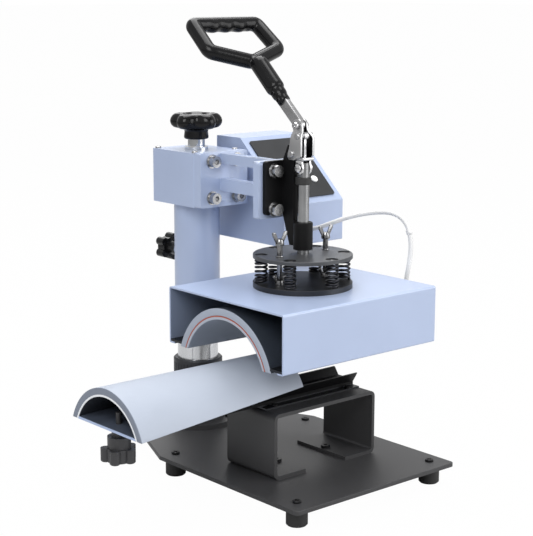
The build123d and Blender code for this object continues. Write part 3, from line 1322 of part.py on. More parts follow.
# each step of the stem: where it starts and ends along the bar, its width, depth and corner radius
stem_steps = (
    (-2.0, -50.0, 20.0, 20.0, 8.0),
    (-50.0, -66.0, 17.0, 20.0, 5.0),
    (-66.0, -80.0, 16.0, 17.0, 4.0),
)
with BuildPart() as handle_grip:
    with BuildSketch(grip_plane.offset(-GRIP_T / 2)) as loop_sketch:
        Polygon(*loop_outer, align=None)
        fillet(loop_sketch.vertices(), LOOP_R)
    extrude(amount=GRIP_T)
    face_rims = handle_grip.edges().filter_by(lambda e: abs(grip_plane.to_local_coords(e.center()).Z) > GRIP_T / 2 - 0.1)
    fillet(face_rims, LOOP_ROUND)
    with BuildSketch(grip_plane.offset(-GRIP_T / 2)) as window:
        Polygon(*loop_window, align=None)
        fillet(window.vertices(), WINDOW_R)
        with Locations(*[(u, WAVE_W) for u in WAVE_SPOTS]):
            Circle(WAVE_R)
    extrude(amount=GRIP_T, mode=Mode.SUBTRACT)
    for step_start, step_end, step_width, step_depth, step_r in stem_steps:
        step_origin = (0, GRIP_Y + step_start * s_y, GRIP_Z + step_start * s_z)
        with BuildSketch(Plane(origin=step_origin, x_dir=(1, 0, 0), z_dir=(0, -s_y, -s_z))):
            RectangleRounded(step_width, step_depth, step_r)
        extrude(amount=step_start - step_end)
    add(handle_bar.part, mode=Mode.SUBTRACT)
    with BuildSketch(Plane.YZ.offset(-GRIP_T)):
        with Locations(*[(GRIP_Y + w * s_y, GRIP_Z + w * s_z) for w in STEM_BOLTS]):
            Circle(M6_D / 2)
    extrude(amount=2 * GRIP_T, mode=Mode.SUBTRACT)
save(handle_grip, "handle_grip")

stem_halves = (stem_steps[2][2] / 2, stem_steps[1][2] / 2)
with BuildPart() as handle_bolts:
    for spot, half in zip(bolt_spots, (FORK_OUT, *stem_halves)):
        with BuildSketch(Plane.YZ.offset(-half)):
            with Locations(spot):
                Circle(M6_D / 2)
        extrude(amount=2 * half)
        for side in (-1, 1):
            with BuildSketch(Plane.YZ.offset(side * half)):
                with Locations(spot):
                    Circle(M6_HEAD_D / 2 - 1.0)
            extrude(amount=side * M6_HEAD_H)
save(handle_bolts, "handle_bolts")

# Small screws: the block's cover and the bracket between block and box
with BuildPart() as small_screws:
    with BuildSketch(Plane.XY.offset(BLOCK_TOP)):
        with Locations(*cover_spots):
            Circle(M4_HEAD_D / 2)
    extrude(amount=M4_HEAD_H)
    fillet(small_screws.edges().filter_by(GeomType.CIRCLE).group_by(Axis.Z)[-1], 1.0)
save(small_screws, "small_screws")

# Pressure knob: lobed wheel and tapered hub, screwed on a chrome spindle
KNOB_LOBES = 5
KNOB_HOLLOW_R = 12.0
KNOB_HOLLOW_OUT = 37.0
KNOB_LOBE_R = 6.0
KNOB_ROUND = 3.5
KNOB_HUB_LOW_D = 28.0
KNOB_CAP_T = 4.0
FLANGE_D = 28.0
FLANGE_T = 3.0
KEEPER_T = 4.0
with BuildPart() as pressure_knob:
    with BuildSketch(Plane.XY.offset(KNOB_LOW)):
        with Locations((0, COLUMN_Y)):
            Circle(KNOB_D / 2)
            with PolarLocations(KNOB_HOLLOW_OUT, KNOB_LOBES):
                Circle(KNOB_HOLLOW_R, mode=Mode.SUBTRACT)
    extrude(amount=KNOB_H)
    fillet(pressure_knob.edges().filter_by(Axis.Z), KNOB_LOBE_R)
    fillet(pressure_knob.faces().sort_by(Axis.Z)[-1].edges(), KNOB_ROUND)
    fillet(pressure_knob.faces().sort_by(Axis.Z)[0].edges(), KNOB_ROUND)
    for hub_z, hub_d in ((KNOB_HUB_LOW, KNOB_HUB_LOW_D), (KNOB_LOW + EMBED, KNOB_HUB_D)):
        with BuildSketch(Plane.XY.offset(hub_z)):
            with Locations((0, COLUMN_Y)):
                Circle(hub_d / 2)
    loft(ruled=True)
    with BuildSketch(Plane.XY.offset(KNOB_HUB_LOW)):
        with Locations((0, COLUMN_Y)):
            Circle(SPINDLE_D / 2)
    extrude(amount=KNOB_HIGH - KNOB_HUB_LOW - KNOB_CAP_T, mode=Mode.SUBTRACT)
save(pressure_knob, "pressure_knob")

with BuildPart() as pressure_spindle:
    with BuildSketch(Plane.XY.offset(SPINDLE_LOW)):
        with Locations((0, COLUMN_Y)):
            Circle(SPINDLE_D / 2)
    extrude(amount=KNOB_HIGH - KNOB_CAP_T - SPINDLE_LOW)
    with BuildSketch(Plane.XY.offset(BLOCK_TOP + RUN)):
        with Locations((0, COLUMN_Y)):
            Circle(FLANGE_D / 2)
    extrude(amount=FLANGE_T)
    with BuildSketch(Plane.XY.offset(COVER_LOW - RUN)):
        with Locations((0, COLUMN_Y)):
            Circle(FLANGE_D / 2)
    extrude(amount=-KEEPER_T)
save(pressure_spindle, "pressure_spindle")

# Drawer: tray over the rail
TRAY_SIDE_T = 2.2
tray_line = [
    (-TRAY_HALF_BOTTOM, TRAY_BOTTOM),
    (TRAY_HALF_BOTTOM, TRAY_BOTTOM),
    (TRAY_HALF_LIP, TRAY_LIP_TOP),
    (TRAY_HALF_LIP - TRAY_SIDE_T, TRAY_LIP_TOP),
    (TRAY_HALF_BOTTOM - 1.4, TRAY_BOTTOM + TRAY_T),
    (-TRAY_HALF_BOTTOM + 1.4, TRAY_BOTTOM + TRAY_T),
    (-TRAY_HALF_LIP + TRAY_SIDE_T, TRAY_LIP_TOP),
    (-TRAY_HALF_LIP, TRAY_LIP_TOP),
]
with BuildPart() as slide_tray:
    with BuildSketch(Plane.YZ.offset(TRAY_LEFT)):
        Polygon(*tray_line, align=None)
    extrude(amount=TRAY_RIGHT - TRAY_LEFT)
    with BuildSketch(Plane.YZ.offset(TRAY_LEFT)):
        for side in (-1, 1):
            with Locations((side * (RAIL_HALF_Y + AIR + TRAY_RUNNER_T / 2), TRAY_BOTTOM - TRAY_RUNNER_DROP / 2 + 0.4)):
                Rectangle(TRAY_RUNNER_T, TRAY_RUNNER_DROP)
    extrude(amount=TRAY_RIGHT - TRAY_LEFT)
save(slide_tray, "slide_tray")

# Platen: soft pad over a metal shell, closed below by a sloping floor plate
platen_bands = (
    ("platen_pad", PAD_T, 0.0),
    ("platen_shell", PAD_T + SHELL_T, PAD_T),
)
for name, deep, shallow in platen_bands:
    with BuildPart() as band:
        for x, radius, foot_z in ((PLATEN_LEFT, LEFT_R, LEFT_FOOT_Z), (PLATEN_RIGHT, RIGHT_R, RIGHT_FOOT_Z)):
            centre = RIDGE_Z - radius
            outer = radius - shallow
            inner = radius - deep
            outer_y = band_spread(centre, outer, foot_z)
            inner_y = band_spread(centre, inner, foot_z)
            with BuildSketch(Plane.YZ.offset(x)):
                with BuildLine():
                    ThreePointArc((-outer_y, foot_z), (0, centre + outer), (outer_y, foot_z))
                    Line((outer_y, foot_z), (inner_y, foot_z))
                    ThreePointArc((inner_y, foot_z), (0, centre + inner), (-inner_y, foot_z))
                    Line((-inner_y, foot_z), (-outer_y, foot_z))
                make_face()
        loft(ruled=True)
    save(band, name)

PLATEN_SCREW_IN = 15.5
PLATEN_SCREW_X = PLATEN_LEFT + PLATEN_SCREW_IN
PLATEN_SCREW_D = 6.0
floor_bore = PAD_T + SHELL_T
with BuildPart() as platen_floor:
    for x, radius, foot_z in ((PLATEN_LEFT, LEFT_R, LEFT_FOOT_Z), (PLATEN_RIGHT, RIGHT_R, RIGHT_FOOT_Z)):
        centre = RIDGE_Z - radius
        inner = radius - floor_bore
        low_y = band_spread(centre, inner, foot_z)
        mid_y = band_spread(centre, inner, foot_z + FLOOR_T / 2)
        top_y = band_spread(centre, inner, foot_z + FLOOR_T)
        with BuildSketch(Plane.YZ.offset(x)):
            with BuildLine():
                Line((-low_y, foot_z), (low_y, foot_z))
                ThreePointArc((low_y, foot_z), (mid_y, foot_z + FLOOR_T / 2), (top_y, foot_z + FLOOR_T))
                Line((top_y, foot_z + FLOOR_T), (-top_y, foot_z + FLOOR_T))
                ThreePointArc((-top_y, foot_z + FLOOR_T), (-mid_y, foot_z + FLOOR_T / 2), (-low_y, foot_z))
            make_face()
    loft(ruled=True)
    with BuildSketch(Plane.XY.offset(LEFT_FOOT_Z - FLOOR_T)):
        with Locations((PLATEN_SCREW_X, 0)):
            Circle(PLATEN_SCREW_D / 2 + RUN)
    extrude(amount=4 * FLOOR_T, mode=Mode.SUBTRACT)
save(platen_floor, "platen_floor")

# Riser blocks from the tray to the sloping floor plate
floor_slope = (RIGHT_FOOT_Z - LEFT_FOOT_Z) / (PLATEN_RIGHT - PLATEN_LEFT)
RISER_LEFT_IN = 96.5
RISER_RIGHT_IN = 32.5
RISER_XS = (PLATEN_LEFT + RISER_LEFT_IN, PLATEN_RIGHT - RISER_RIGHT_IN)
RISER_HALF_X = 14.0
RISER_HALF_Y = 9.0
with BuildPart() as riser_blocks:
    for riser_x in RISER_XS:
        ends = (riser_x - RISER_HALF_X, riser_x + RISER_HALF_X)
        tops = [LEFT_FOOT_Z + (x - PLATEN_LEFT) * floor_slope for x in ends]
        with BuildSketch(Plane.XZ.offset(-RISER_HALF_Y)):
            Polygon(
                (ends[0], TRAY_BOTTOM + TRAY_T),
                (ends[1], TRAY_BOTTOM + TRAY_T),
                (ends[1], tops[1]),
                (ends[0], tops[0]),
                align=None,
            )
        extrude(amount=2 * RISER_HALF_Y)
save(riser_blocks, "riser_blocks")

# Star knob under the platen's left end, on a screw through the floor plate
STAR_DROP = 9.4
STAR_HUB_H = 12.0
STAR_T = 14.4
STAR_HUB_D = 24.0
STAR_HUB_TOP = LEFT_FOOT_Z - STAR_DROP
STAR_TOP = STAR_HUB_TOP - STAR_HUB_H
STAR_LOW = STAR_TOP - STAR_T
STAR_NECK_D = 15.0
SCREW_OVER = 12.0
STAR_CORE_R = 13.5
STAR_LOBE_R = 5.5
screw_floor_z = LEFT_FOOT_Z + (PLATEN_SCREW_X - PLATEN_LEFT) * floor_slope
NECK_TOP = LEFT_FOOT_Z + (PLATEN_SCREW_X - STAR_NECK_D / 2 - PLATEN_LEFT) * floor_slope - RUN
with BuildPart() as platen_knob:
    with BuildSketch(Plane.XY.offset(STAR_LOW)):
        with Locations((PLATEN_SCREW_X, 0)):
            Circle(STAR_CORE_R)
            with PolarLocations(STAR_CORE_R, STAR_LOBES):
                Circle(STAR_LOBE_R)
    extrude(amount=STAR_TOP - STAR_LOW)
    chamfer(platen_knob.faces().sort_by(Axis.Z)[0].edges(), 1.2)
    with BuildSketch(Plane.XY.offset(STAR_TOP)):
        with Locations((PLATEN_SCREW_X, 0)):
            Circle(STAR_HUB_D / 2)
    extrude(amount=STAR_HUB_TOP - STAR_TOP)
    with BuildSketch(Plane.XY.offset(STAR_HUB_TOP)):
        with Locations((PLATEN_SCREW_X, 0)):
            Circle(STAR_NECK_D / 2)
    extrude(amount=NECK_TOP - STAR_HUB_TOP)
    with BuildSketch(Plane.XY.offset(STAR_HUB_TOP)):
        with Locations((PLATEN_SCREW_X, 0)):
            Circle(PLATEN_SCREW_D / 2)
    extrude(amount=screw_floor_z + FLOOR_T + SCREW_OVER - STAR_HUB_TOP)
save(platen_knob, "platen_knob")
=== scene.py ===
# %% [markdown]
# # Shin guard heat press
# A small heat press whose heated arch prints on the curved shell of a shin guard. The packed
# model is loaded as a fixed frame. Each cell below adds one thing to it: the camera and the
# studio, a finish for every node, and the moulded, pressed and wound pieces whose form goes
# further than their solids.

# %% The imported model
from math import atan2, cos, pi, radians, sin

import bmesh
import bpy
from mathutils import Matrix, Vector


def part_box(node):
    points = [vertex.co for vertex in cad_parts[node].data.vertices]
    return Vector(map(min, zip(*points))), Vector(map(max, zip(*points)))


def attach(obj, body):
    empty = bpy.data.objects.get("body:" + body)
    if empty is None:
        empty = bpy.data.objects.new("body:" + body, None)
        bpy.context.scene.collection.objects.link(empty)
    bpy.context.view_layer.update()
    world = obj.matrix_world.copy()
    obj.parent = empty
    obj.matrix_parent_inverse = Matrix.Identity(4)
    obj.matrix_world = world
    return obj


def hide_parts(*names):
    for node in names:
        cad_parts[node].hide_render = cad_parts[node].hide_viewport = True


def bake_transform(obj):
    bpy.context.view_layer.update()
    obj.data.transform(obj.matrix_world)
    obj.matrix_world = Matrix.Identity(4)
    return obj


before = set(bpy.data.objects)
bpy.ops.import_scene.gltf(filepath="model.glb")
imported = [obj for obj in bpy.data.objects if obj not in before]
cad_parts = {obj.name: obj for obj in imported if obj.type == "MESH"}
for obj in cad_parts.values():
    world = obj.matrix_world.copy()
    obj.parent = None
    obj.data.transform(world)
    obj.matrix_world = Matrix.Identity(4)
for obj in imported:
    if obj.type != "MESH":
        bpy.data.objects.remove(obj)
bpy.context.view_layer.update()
MM = 0.001
SAME_PLACE = 0.001 * MM
scene = bpy.context.scene

# %% [markdown]
# The photograph was taken from the front left with a long lens, about a metre and a half away.
# The camera's place and turn could be set by eye, but here they were solved from the lines of the
# base plate, the stand and the housing, so that the render can be laid over the photograph.

# %% Camera
CAMERA_AT = Vector((-1.03296, -1.13027, 0.54443))
CAMERA_AZIMUTH = -40.93
CAMERA_DOWN = 11.17
CAMERA_ROLL = 0.11
CAMERA_LENS = 95.16
SENSOR_WIDTH = 36.0
NEAREST_SEEN = 0.05

camera_data = bpy.data.cameras.new("camera")
camera_data.lens = CAMERA_LENS
camera_data.sensor_width = SENSOR_WIDTH
camera_data.clip_start = NEAREST_SEEN
camera = bpy.data.objects.new("camera", camera_data)
scene.collection.objects.link(camera)
camera.location = CAMERA_AT
turn = (
    Matrix.Rotation(radians(CAMERA_AZIMUTH), 4, "Z")
    @ Matrix.Rotation(radians(90 - CAMERA_DOWN), 4, "X")
    @ Matrix.Rotation(radians(CAMERA_ROLL), 4, "Z")
)
camera.rotation_euler = turn.to_euler()
scene.camera = camera
print("camera", [round(v, 3) for v in camera.location])

# %% [markdown]
# The studio is a pale floor under four large soft lights and an even white surround. Large lights
# are used because they give the broad, soft shade of a product photograph. Their power is such
# that a colour renders about as it is written.

# %% Studio
scene.view_settings.view_transform = "Standard"


def new_object(name, mesh):
    """Puts a mesh, a curve or a light in the scene as an object at the origin."""
    made = bpy.data.objects.new(name, mesh)
    scene.collection.objects.link(made)
    return made


def area_light(name, place, target, size, power):
    """Adds a soft white light at a place, turned to a target."""
    light = bpy.data.lights.new(name, "AREA")
    light.size = size
    light.energy = power
    made = new_object(name, light)
    made.location = place
    made.rotation_euler = (Vector(target) - Vector(place)).to_track_quat("-Z", "Y").to_euler()
    return made


# Each light's place, target, size in metres and power in watts.
area_light("key_light", (-1.6, -1.0, 1.7), (0, 0, 0.25), 1.4, 33)
area_light("fill_light", (1.2, -1.7, 0.9), (0, 0, 0.25), 1.6, 25)
area_light("rim_light", (0.9, 1.6, 1.7), (0, 0, 0.3), 1.2, 14)
area_light("top_light", (0.3, 0.4, 2.2), (0, 0, 0.2), 1.6, 40)

# %% Floor and surround
WORLD_FILL = 0.38
WORLD_SHINE = 0.85
FLOOR_HALF = 40.0
WHITE = (1, 1, 1, 1)
world = bpy.data.worlds.new("studio")
scene.world = world
world.use_nodes = True
surround = world.node_tree.nodes["Background"]
surround.inputs["Color"].default_value = WHITE
surround.inputs["Strength"].default_value = WORLD_FILL

floor_mesh = bpy.data.meshes.new("floor")
floor_bm = bmesh.new()
bmesh.ops.create_grid(floor_bm, x_segments=1, y_segments=1, size=FLOOR_HALF)
floor_bm.to_mesh(floor_mesh)
floor_bm.free()
floor = new_object("floor", floor_mesh)
print("floor", 2 * FLOOR_HALF, "m across")

# %% [markdown]
# A material is a tree of nodes, which could be linked one by one. Written as plain expressions it
# is shorter and reads like maths: `Value` wraps a socket, so that `noise * 0.2 + 0.4` makes the
# nodes, and `Value.node` makes any other node from its name.

# %% Material maths
class Value:
    """A socket of a material, which takes part in maths."""

    def __init__(self, tree, socket):
        self.tree = tree
        self.socket = socket

    def node(self, kind, output=0, settings=(), **inputs):
        """Makes a node in the same tree; inputs go by name, with underscores for spaces."""
        made = self.tree.nodes.new("ShaderNode" + kind)
        for key, setting in dict(settings).items():
            setattr(made, key, setting)
        for key, value in inputs.items():
            wanted = [s for s in made.inputs if s.name.replace(" ", "_") == key and s.enabled]
            if isinstance(value, Value):
                self.tree.links.new(value.socket, wanted[0])
            else:
                wanted[0].default_value = value
        return Value(self.tree, made.outputs[output])

    def maths(self, operation, *others):
        """Makes a maths node of this value and the others."""
        made = self.tree.nodes.new("ShaderNodeMath")
        made.operation = operation
        for socket, value in zip(made.inputs, (self, *others)):
            if isinstance(value, Value):
                self.tree.links.new(value.socket, socket)
            else:
                socket.default_value = value
        return Value(self.tree, made.outputs[0])

    def constant(self, number):
        """Gives a number as a socket, for what starts with one."""
        made = self.tree.nodes.new("ShaderNodeValue")
        made.outputs[0].default_value = number
        return Value(self.tree, made.outputs[0])

    def __add__(self, other):
        return self.maths("ADD", other)

    def __sub__(self, other):
        return self.maths("SUBTRACT", other)

    def __mul__(self, other):
        return self.maths("MULTIPLY", other)

    def __truediv__(self, other):
        return self.maths("DIVIDE", other)

    def __rsub__(self, other):
        return self.constant(other) - self

    def __pow__(self, other):
        return self.maths("POWER", other)

    __radd__ = __add__
    __rmul__ = __mul__

    def clamp(self):
        """Keeps the value from 0 to 1."""
        made = self.maths("ADD", 0.0)
        made.socket.node.use_clamp = True
        return made

    def between(self, low, high):
        """Rises smoothly from 0 at low to 1 at high."""
        smooth = (("interpolation_type", "SMOOTHSTEP"),)
        return self.node("MapRange", 0, smooth, Value=self, From_Min=low, From_Max=high)

    def blend(self, first, second):
        """Mixes two colours by this value."""
        made = self.tree.nodes.new("ShaderNodeMix")
        made.data_type = "RGBA"
        self.tree.links.new(self.socket, made.inputs[0])
        for socket, colour in ((made.inputs[6], first), (made.inputs[7], second)):
            if isinstance(colour, Value):
                self.tree.links.new(colour.socket, socket)
            else:
                socket.default_value = (*colour, 1.0)
        return Value(self.tree, made.outputs[2])


print("expressions make nodes")

# %% [markdown]
# Every finish here starts from the same main shader and reads the same coordinates, those of the
# object, so that a grain has its real size and stays on its piece when the piece moves. `Paint`
# holds what they share. Wear along edges comes from a Bevel node, which turns the normal near an
# edge only.

# %% A material and its patterns
class Paint:
    """A new material with its main shader, coordinates and patterns."""

    def __init__(self, name, **constants):
        self.material = bpy.data.materials.new(name)
        self.material.use_nodes = True
        self.tree = self.material.node_tree
        self.shader = self.tree.nodes["Principled BSDF"]
        for key, value in constants.items():
            self.shader.inputs[key.replace("_", " ")].default_value = value
        coordinate = self.tree.nodes.new("ShaderNodeTexCoord")
        self.place = Value(self.tree, coordinate.outputs["Object"])

    def stretched(self, x=1.0, y=1.0, z=1.0):
        """Gives the object's coordinates, scaled along each axis."""
        return self.place.node("Mapping", 0, (), Vector=self.place, Scale=(x, y, z))

    def axis(self, index):
        """Gives one coordinate, in metres."""
        return self.place.node("SeparateXYZ", index, (), Vector=self.place)

    def noise(self, scale, detail=2.0, place=None, roughness=0.5):
        """Gives noise whose grains are about 1 / scale metres across."""
        place = place or self.place
        settings = {"Vector": place, "Scale": scale, "Detail": detail, "Roughness": roughness}
        return place.node("TexNoise", 0, (), **settings)

    def edges(self, radius=0.0012):
        """Gives 0 on flat faces and rises towards 1 along edges, for wear."""
        softened = self.place.node("Bevel", 0, (("samples", 4),), Radius=radius)
        flat = Value(self.tree, self.tree.nodes.new("ShaderNodeNewGeometry").outputs["Normal"])
        dot = self.tree.nodes.new("ShaderNodeVectorMath")
        dot.operation = "DOT_PRODUCT"
        self.tree.links.new(softened.socket, dot.inputs[0])
        self.tree.links.new(flat.socket, dot.inputs[1])
        return (1.0 - Value(self.tree, dot.outputs["Value"])) * 3.0

    def give(self, name, value):
        """Joins a varying value to the main shader."""
        self.tree.links.new(value.socket, self.shader.inputs[name])

    def bump(self, height, distance, strength=1.0):
        """Turns a height into the shader's normal."""
        normal = height.node("Bump", 0, (), Height=height, Distance=distance, Strength=strength)
        self.give("Normal", normal)


print("material helpers ready")

# %% [markdown]
# The floor of a product photograph fades into white. To the camera this floor is lit nearly all
# by its own white light, mixed with a little real shade, which keeps a faint shadow under the
# feet. The light is seen by camera rays only, so it adds none to the press.

# %% Floor material
FLOOR_OWN_LIGHT = 0.985
floor_paint = Paint("floor", Base_Color=(0.55, 0.55, 0.55, 1), Roughness=0.7)
grain = floor_paint.noise(40.0)
floor_paint.give("Roughness", grain * 0.1 + 0.65)
floor_tree = floor_paint.tree
glow = floor_tree.nodes.new("ShaderNodeEmission")
glow.inputs["Color"].default_value = WHITE
floor_mix = floor_tree.nodes.new("ShaderNodeMixShader")
floor_rays = floor_tree.nodes.new("ShaderNodeLightPath")
seen = Value(floor_tree, floor_rays.outputs["Is Camera Ray"])
floor_tree.links.new((seen * FLOOR_OWN_LIGHT).socket, floor_mix.inputs["Fac"])
floor_tree.links.new(floor_paint.shader.outputs[0], floor_mix.inputs[1])
floor_tree.links.new(glow.outputs[0], floor_mix.inputs[2])
floor_tree.links.new(floor_mix.outputs[0], floor_tree.nodes["Material Output"].inputs["Surface"])
floor_mesh.materials.append(floor_paint.material)
print("floor keeps", round(1 - FLOOR_OWN_LIGHT, 3), "of its shade")

# %% [markdown]
# The surround has three strengths: white to the camera, bright in reflections, so that metal and
# gloss show a white room, and dimmer as a light. Two Mix Shaders choose between them by the ray.

# %% Surround by ray
world_tree = world.node_tree


def mixed_by(ray, other, met):
    """Mixes two backgrounds: the second is what rays of that kind meet."""
    mix = world_tree.nodes.new("ShaderNodeMixShader")
    world_tree.links.new(world_rays.outputs[ray], mix.inputs["Fac"])
    world_tree.links.new(other.outputs[0], mix.inputs[1])
    world_tree.links.new(met.outputs[0], mix.inputs[2])
    return mix


world_rays = world_tree.nodes.new("ShaderNodeLightPath")
shine = world_tree.nodes.new("ShaderNodeBackground")
shine.inputs["Strength"].default_value = WORLD_SHINE
backdrop = world_tree.nodes.new("ShaderNodeBackground")
backdrop.inputs["Color"].default_value = WHITE
world_mix = mixed_by("Is Camera Ray", mixed_by("Is Glossy Ray", surround, shine), backdrop)
world_tree.links.new(world_mix.outputs[0], world_tree.nodes["World Output"].inputs["Surface"])
print("surround is white to the camera")

# %% [markdown]
# ## Materials
# The steel of a press is powder coated: sprayed dry, then baked. The coat has an orange peel of
# about a millimetre, is slightly cloudy, and wears thin along edges. An image could hold all
# that, but noise at real sizes fits every piece and has no seams.

# %% Powder coat
ORANGE_PEEL = 900.0
FINE_PEEL = 1400.0


def shades(colour, darker=0.94, lighter=1.04):
    """Gives a darker and a lighter shade of a colour."""
    return [c * darker for c in colour], [min(1.0, c * lighter) for c in colour]


def powder_coat(
    name, colour, worn, roughness=0.42, peel=ORANGE_PEEL, depth=0.00004, shine=0.5, coat=0.0
):
    """Sprayed and baked paint: orange peel, slight cloudiness, thin wear along the edges."""
    paint = Paint(name, Specular_IOR_Level=shine, Coat_Weight=coat, Coat_Roughness=0.22)
    cloud = paint.noise(14.0, 3.0)
    speck = paint.noise(peel, 2.0)
    wear = (paint.edges(0.0009) * paint.noise(160.0, 4.0)).between(0.25, 0.8)
    darker = [c * 0.94 for c in colour]
    lighter = [min(1.0, c * 1.05 + 0.004) for c in colour]
    paint.give("Base Color", (wear * 0.35).blend(cloud.blend(darker, lighter), worn))
    paint.give("Roughness", (cloud * 0.08 + speck * 0.06 + (roughness - 0.06)).clamp())
    paint.bump(speck, depth)
    return paint.material


blue_paint = powder_coat(
    "blue_powder_coat", (0.392, 0.468, 0.65), (0.7, 0.76, 0.88), 0.3, shine=0.6, coat=0.3
)
charcoal_paint = powder_coat(
    "charcoal_powder_coat", (0.043, 0.043, 0.045), (0.13, 0.13, 0.14), 0.46,
    FINE_PEEL, 0.00005, 0.32,
)
black_paint = powder_coat(
    "black_powder_coat", (0.005, 0.005, 0.0055), (0.06, 0.06, 0.065), 0.4,
    FINE_PEEL, 0.00004, 0.12,
)
print("powder coats", blue_paint.name, charcoal_paint.name, black_paint.name)

# %% [markdown]
# Inside the box the housing's paint is mixed towards near black, as painted shade. The housing is
# one sheet and one node, so a mask by place divides inside from outside, rather than a second
# piece.

# %% Housing coat
HOUSING_INSIDE_Y = 0.0932
HOUSING_INSIDE_Z = 0.2204
HOUSING_END_X = -0.1124
MASK_EDGE = 0.0004
# Painted shade inside the housing: a near-black colour, and how much of it is mixed in.
INSIDE_PAINTED_SHADE = (0.02, 0.026, 0.036)
PAINTED_SHADE_SHARE = 0.86


def housing_coat(name):
    """The housing's paint, darkened inside by painted shade."""
    paint = Paint(name, Specular_IOR_Level=0.6, Coat_Weight=0.3, Coat_Roughness=0.22)
    cloud = paint.noise(14.0, 3.0)
    speck = paint.noise(ORANGE_PEEL, 2.0)
    from_middle = paint.axis(1).maths("ABSOLUTE")
    in_y = 1.0 - from_middle.between(HOUSING_INSIDE_Y - MASK_EDGE, HOUSING_INSIDE_Y)
    in_z = 1.0 - paint.axis(2).between(HOUSING_INSIDE_Z - MASK_EDGE, HOUSING_INSIDE_Z)
    behind_end = paint.axis(0).between(HOUSING_END_X, HOUSING_END_X + MASK_EDGE)
    # The mask marks the inside of the box, where painted shade darkens the paint.
    inside = in_y * in_z * behind_end
    base = cloud.blend((0.362, 0.435, 0.605), (0.408, 0.488, 0.675))
    paint.give("Base Color", (inside * PAINTED_SHADE_SHARE).blend(base, INSIDE_PAINTED_SHADE))
    paint.give("Roughness", (cloud * 0.08 + speck * 0.06 + 0.24).clamp())
    paint.bump(speck, 0.00004)
    return paint.material


housing_paint = housing_coat("housing_coat")
print("housing coat", housing_paint.name)

# %% [markdown]
# The platen's sheets show a bright cut edge at their ends, and behind it painted shade, a
# near-black
# colour. The same mask by place does this: what lies further in than the end takes the painted
# shade, on the floor only where it faces up.

# %% Platen sheets
PLATEN_END = -0.2645
CUT_FROM = 0.0002
CUT_TO = 0.0008


def platen_metal(name, light, end_x):
    """The platen's floor: painted shade where it faces up inside, light on its cut end and below.
    """
    paint = Paint(name, Specular_IOR_Level=0.4)
    cloud = paint.noise(30.0, 3.0)
    facing = paint.tree.nodes.new("ShaderNodeSeparateXYZ")
    normal = paint.tree.nodes.new("ShaderNodeNewGeometry")
    paint.tree.links.new(normal.outputs["Normal"], facing.inputs["Vector"])
    up = Value(paint.tree, facing.outputs["Z"]).between(0.25, 0.5)
    # Faces that look up behind the cut end are painted near black, as shade inside the platen.
    dark = up * paint.axis(0).between(end_x + CUT_FROM, end_x + CUT_TO)
    base = dark.blend(light, (0.022, 0.026, 0.033))
    paint.give("Base Color", (cloud * 0.3).blend(base, [c * 0.8 for c in light]))
    paint.give("Roughness", (cloud * 0.12 + 0.36).clamp())
    paint.bump(paint.noise(ORANGE_PEEL), 0.00003)
    return paint.material


def shell_metal(name, end_x):
    """The platen's arched shell: a bright cut end, and painted shade behind it."""
    paint = Paint(name, Specular_IOR_Level=0.35)
    cloud = paint.noise(30.0, 3.0)
    behind = paint.axis(0).between(end_x + CUT_FROM, end_x + CUT_TO)
    # Behind the cut end the shell is painted near black, as shade inside the platen.
    shell_painted_shade = cloud.blend((0.024, 0.028, 0.036), (0.034, 0.038, 0.048))
    paint.give("Base Color", behind.blend((0.80, 0.82, 0.85), shell_painted_shade))
    paint.give("Roughness", (cloud * 0.12 + 0.4).clamp())
    paint.bump(paint.noise(ORANGE_PEEL), 0.00003)
    return paint.material


floor_sheet = platen_metal("platen_sheet", (0.40, 0.49, 0.70), PLATEN_END)
shell_sheet = shell_metal("platen_shell_sheet", PLATEN_END)
print("platen sheets", floor_sheet.name, shell_sheet.name)

# %% [markdown]
# Bare metal is told by its scratches and stains more than by its colour. Scratches are noise that
# is stretched along one axis. A face that was turned on a lathe has rings instead, which are a
# sine of the distance from the centre.

# %% Metals
def metal(name, colour, roughness, grain=(60.0, 60.0, 3.0), depth=0.00001, tint=0.12):
    """Bare or plated metal: fine scratches along one axis, faint stains."""
    paint = Paint(name, Metallic=1.0)
    scratch = paint.noise(40.0, 3.0, paint.stretched(*grain), 0.7)
    stain = paint.noise(35.0, 3.0)
    dark = [c * (1 - tint) for c in colour]
    paint.give("Base Color", (stain * 0.6 + scratch * 0.4).between(0.3, 0.7).blend(dark, colour))
    paint.give("Roughness", (scratch * 0.16 + stain * 0.08 + (roughness - 0.12)).clamp())
    paint.bump(scratch, depth)
    return paint.material


def turned_metal(name, colour, roughness, centre=(0.0, 0.0), ring=2600.0):
    """Metal faced on a lathe: fine rings round a vertical axis."""
    paint = Paint(name, Metallic=1.0)
    x = paint.axis(0) - centre[0]
    y = paint.axis(1) - centre[1]
    distance = (x * x + y * y) ** 0.5
    rings = (distance * ring).maths("SINE") * 0.5 + 0.5
    stain = paint.noise(30.0, 4.0)
    paint.give("Base Color", stain.blend([c * 0.85 for c in colour], colour))
    paint.give("Roughness", (rings * 0.08 + stain * 0.16 + (roughness - 0.1)).clamp())
    paint.bump(rings, 0.000015)
    return paint.material


